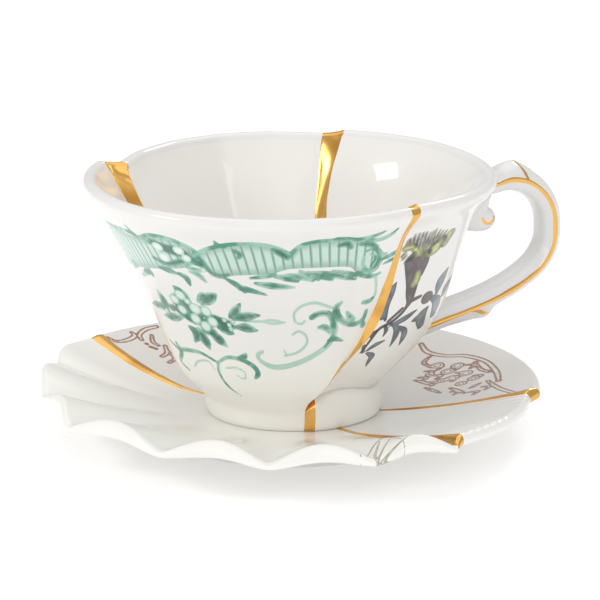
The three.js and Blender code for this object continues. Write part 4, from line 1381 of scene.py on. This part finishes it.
# %% Greens and the ribbed border
garland = porcelain("garland_glaze", plain_colour, 1.0)
pale, light, middle_green, dark_green = ((0.56, 0.73, 0.65, 1), (0.33, 0.58, 0.46, 1),
                                         (0.07, 0.28, 0.2, 1), (0.015, 0.11, 0.085, 1))
grain, mottle = garland.noise(500, 3), garland.noise(230)
across, down, _ = garland.parts(garland.flat_map())
rib_pitch, rib_slant = 2.9, 0.12
rib = abs(garland.math("FRACT", (across - down * rib_slant) / rib_pitch) - 0.5)
rib_line = garland.step(rib, 0.22, 0.04)
border_field = garland.field("border")
cell_shade = garland.step(border_field, -3.5, -0.4) * 0.5
cells = garland.blend(pale, middle_green, garland.larger(rib_line * 0.85, cell_shade))
garland.lay(cells, garland.painted(border_field, 0.15) * 0.92)

print("garland_glaze has", len(garland.tree.nodes), "nodes with the border")

# %% Washes and rails
wash_field = garland.field("wash")
wash_tone = garland.blend(light, (0.66, 0.80, 0.72, 1), garland.step(wash_field, -0.25, -1.3))
garland.lay(wash_tone, garland.painted(wash_field, 0.25, 0.25) * (0.6 + mottle * 0.4))
rail_tone = garland.blend(light, middle_green, garland.step(mottle, 0.35, 0.65))
garland.lay(rail_tone, garland.painted(garland.field("rail"), 0.2, 0.28))

print("and", len(garland.tree.nodes), "with washes and rails")

# %% Leaves, with a dark touch under and over them
dark_field, leaf_field = garland.field("dark"), garland.field("leaf")
leaf_tone = garland.blend(light, middle_green, garland.step(mottle, 0.38, 0.6))
leaf_edge = garland.step(leaf_field + mottle * 0.8, 0.3, -0.5)
leaf_tone = garland.blend(leaf_tone, dark_green, leaf_edge * 0.75)
garland.lay(middle_green, garland.painted(dark_field, 0.4, 0.5) * 0.8)
garland.lay(leaf_tone, garland.painted(leaf_field, 0.25, 0.35) * (0.8 + grain * 0.3))
garland.lay(dark_green, garland.painted(dark_field, 0.3, -0.15) * 0.75)

print("and", len(garland.tree.nodes), "with leaves")

# %% Petals on their dark ground, and the white beads
ground_tone = garland.blend(middle_green, dark_green, garland.step(mottle, 0.42, 0.6) * 0.8)
garland.lay(ground_tone, garland.painted(garland.field("ground"), 0.7) * 0.9)
petal_field, blank_field = garland.field("petal"), garland.field("blank")
petal_tone = garland.blend((0.72, 0.82, 0.76, 1), light, garland.step(petal_field, -0.9, -0.1))
garland.lay(petal_tone, garland.painted(petal_field, 0.2))
bead_tone = garland.blend((0.80, 0.86, 0.81, 1), light, garland.step(blank_field, -0.9, -0.15) * 0.6)
garland.lay(bead_tone, garland.painted(blank_field, 0.15))
garland.surface(Base_Color=garland.base)
print("and", len(garland.tree.nodes), "with petals and beads")

# %% [markdown]
# ## The spray's material
#
# The botanical spray is printed in dark outline and hatching and then tinted. Here each part is
# a tone that gets darker towards its edge, and the slate leaves have a fine hatch.

# %% Slate leaves
spray = porcelain("sprig_glaze", plain_colour, 0.8)
fleck, blot = spray.noise(420, 3), spray.noise(200)
across, down, _ = spray.parts(spray.flat_map())
hatch = spray.step(abs(spray.math("FRACT", across * 1.5 + down * 0.5) - 0.5), 0.22, 0.05)
slate_field = spray.field("slate")
slate_tone = spray.blend((0.11, 0.19, 0.21, 1), (0.02, 0.05, 0.08, 1), spray.step(blot, 0.4, 0.6))
slate_shade = spray.larger(hatch * 0.45, spray.step(slate_field, -0.45, 0.05) * 0.9)
slate_tone = spray.blend(slate_tone, (0.02, 0.02, 0.04, 1), slate_shade)
spray.lay(slate_tone, spray.painted(slate_field, 0.15, 0.25) * 0.94)
print("sprig_glaze has", len(spray.tree.nodes), "nodes with the leaves")

# %% The flower
body_field, mouth_field, fringe_field = [spray.field(name) for name in ("body", "mouth", "fringe")]
body_tone = spray.blend((0.11, 0.06, 0.065, 1), (0.035, 0.018, 0.03, 1), spray.step(blot, 0.35, 0.6))
body_tone = spray.blend(body_tone, (0.03, 0.015, 0.02, 1), spray.step(body_field, -0.7, 0.0) * 0.7)
spray.lay(body_tone, spray.painted(body_field, 0.15, 0.55) * 0.94)
mouth_tone = spray.blend((0.55, 0.58, 0.20, 1), (0.22, 0.24, 0.09, 1), spray.step(fleck, 0.45, 0.65))
mouth_tone = spray.blend(mouth_tone, (0.20, 0.22, 0.10, 1), spray.step(mouth_field, -0.5, 0.0) * 0.7)
spray.lay(mouth_tone, spray.painted(mouth_field, 0.2, 0.55) * 0.95)
fringe_tone = spray.blend((0.2, 0.21, 0.1, 1), (0.02, 0.02, 0.02, 1), spray.step(fleck, 0.4, 0.6))
spray.lay(fringe_tone, spray.painted(fringe_field, 0.3, 0.25) * 0.9)
spray.surface(Base_Color=spray.base)
print("and", len(spray.tree.nodes), "with the flower")

# %% [markdown]
# ## The saucer's prints
#
# The sepia print is all line. A line that follows an edge is the place where the distance is
# near a fixed number, so one field of strokes gives an outline and a finer line inside it.

# %% Sepia scrolls
sepia = porcelain("scroll_glaze", (0.78, 0.755, 0.72), 0.1)
sepia_field = sepia.field("sepia")
outline = sepia.step(abs(sepia_field - 0.15), 0.44, 0.2)
inner_line = sepia.step(abs(sepia_field + 0.75), 0.3, 0.1)
sepia.lay((0.30, 0.13, 0.075, 1), sepia.larger(outline, inner_line) * (0.66 + sepia.noise(600) * 0.6))
sepia.surface(Base_Color=sepia.base)
print("scroll_glaze has", len(sepia.tree.nodes), "nodes")

# %% The leaf sketch on the shell
# The shell's white is lighter than the plain glaze: painted light that lifts the shade under the cup's
# overhang.
shell = porcelain("shell_glaze", (0.90, 0.89, 0.865), 0.6)
shell_line = shell.step(abs(shell.field("sketch") + 0.05), 0.22, 0.05)
shell.lay((0.22, 0.20, 0.11, 1), shell_line * 0.75)
shell.surface(Base_Color=shell.base)
print("shell_glaze has", len(shell.tree.nodes), "nodes")

# %% [markdown]
# ## The handle's gold
#
# A gilt line follows both ridges of the strap. On its flat map `across` is 0 on the near ridge
# and half a round on the far one, so the nearer of the two gives the distance to a ridge, and a
# slow noise makes the line swell and thin. The crest and the spur have a short stroke each.

# %% The gilt lines of the strap
# The strap's glaze is the bowl's, made a little greyer: painted shade that keeps the strap from melting
# into the white.
handle = porcelain("handle_glaze", (0.76, 0.755, 0.75), 0.0)
across, down, _ = handle.parts(handle.flat_map())
half_line = 0.25 + handle.noise(90) * 0.32
to_ridge = handle.math("MINIMUM", abs(across), half_round - abs(across))
ridge_gold = handle.step(to_ridge - half_line, 0.05, -0.05)
crest_gap = abs(down - (21.2 + (across + 3) * 1.1))
crest_gold = handle.step(crest_gap, 0.6, 0.4) * handle.step(abs(across + 1.6), 1.7, 1.5)
spur_gap = abs(down - (83 + across * 2.8))
spur_gold = handle.step(spur_gap, 1.1, 0.85) * handle.step(abs(across + 1.2), 1.3, 1.1)
gilded(handle, handle.larger(ridge_gold, handle.larger(crest_gold, spur_gold)))
print("handle_glaze has", len(handle.tree.nodes), "nodes")

# %% The crescent on the volute
# The volute is made as grey as the strap: painted shade.
drop = porcelain("volute_glaze", (0.77, 0.765, 0.76), 0.0)
crescent_centre, crescent_radius = (4.4, -0.4, 0), 2
drop_map = drop.flat_map()
to_centre = drop.node("VectorMath", {"operation": "DISTANCE"}, {0: drop_map, 1: crescent_centre}, output=1)
crescent = drop.step(abs(to_centre - crescent_radius), 0.55, 0.35)
lower_half = drop.step(drop.parts(drop_map)[1], 0, -0.6)
gilded(drop, crescent * lower_half)
print("volute_glaze has", len(drop.tree.nodes), "nodes")

# %% [markdown]
# ## Into the frame
#
# Both pieces stand still, so they ride on the root body. Each takes the place of its CAD node.

# %% Joining the frame
for piece, node, slot in ((cup, "cup", "cup_glaze"), (saucer, "saucer", "saucer_glaze")):
    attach(piece, "root")
    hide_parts(node)
    print(piece.name, "replaces", node)

# %% [markdown]
# ## Table, camera and light
#
# The photograph has a seamless white table and the light of a few large soft boxes. The camera
# stands far off with a long lens, a little to the left of the side opposite the handle.

# %% Camera
def aimed(thing, place, target):
    thing.location = Vector(place)
    thing.rotation_euler = (Vector(target) - thing.location).to_track_quat("-Z", "Y").to_euler()


def way_to(turn, rise):
    """The direction of a turn round the cup and a rise above the table."""
    return np.array([math.cos(turn) * math.cos(rise), math.sin(turn) * math.cos(rise), math.sin(rise)])


camera_away, camera_turn, camera_rise = 1100, -113 * degree, 14.5 * degree
target = np.array([axis_x + 2.21, axis_y - 0.94, 41.4])
deselect()
bpy.ops.object.camera_add()
camera = bpy.context.object
camera.data.lens, camera.data.sensor_width = 220, 36
camera.data.clip_start, camera.data.clip_end = 0.05, 50
aimed(camera, (target + camera_away * way_to(camera_turn, camera_rise)) * mm, target * mm)
bpy.context.scene.camera = camera
print("camera at", [round(value, 2) for value in camera.location])

# %% [markdown]
# The table is one large plane. It gives off a little light of its own, so that it is as white as
# paper and the shadow stays soft.

# %% The table
deselect()
bpy.ops.mesh.primitive_plane_add(size=12, location=(0, 0, 0))
table = bpy.context.object
table.name = table.data.name = "table"
table.data.materials.append(bpy.data.materials.new("table_white"))
paper = Finish("table_white")
paper.surface(Base_Color=(0.88, 0.88, 0.88, 1), Roughness=0.9, Emission_Color=(1, 1, 1, 1),
              Emission_Strength=0.25)
print("table", round(table.dimensions.x, 1), "m wide")

# %% [markdown]
# Glaze shows every lamp as a white shape, so the lamps stand where their reflections should be:
# the window at the left makes the bright square inside the bowl, at the right of the gold. A low
# box lights the foot and the front of the saucer.

# %% Soft boxes
def soft_box(name, azimuth, elevation, distance, width, height, power):
    """A rectangle of light that looks at the cup. Azimuth 0 is the camera's side, 90 its right."""
    deselect()
    bpy.ops.object.light_add(type="AREA")
    light = bpy.context.object
    light.name = name
    light.data.shape = "RECTANGLE"
    light.data.size, light.data.size_y = width, height
    light.data.energy = power
    way = way_to(camera_turn + azimuth * degree, elevation * degree)
    aimed(light, target * mm + way * distance, target * mm)
    print(name, "of", power, "W")


soft_box("overhead_box", 180, 72, 1.3, 1.3, 1.1, 3.4)
soft_box("front_box", 14, 52, 1.4, 1.2, 0.9, 2.8)
soft_box("low_box", 6, 12, 1.5, 1.2, 0.3, 2)
soft_box("window_right", 150, 42, 1.5, 0.3, 0.36, 2.2)
soft_box("window_left", -75, 33, 1.4, 0.42, 0.32, 4)
soft_box("flash_lamp", 50, 37, 1.3, 0.2, 0.26, 0.4)

# %% The room
world = bpy.data.worlds.new("studio")
world.use_nodes = True
bpy.context.scene.world = world
room = world.node_tree.nodes["Background"]
room.inputs["Color"].default_value = (1, 1, 1, 1)
room.inputs["Strength"].default_value = 0.58
bpy.context.scene.view_settings.view_transform = "Standard"
print("room light", round(room.inputs["Strength"].default_value, 2))
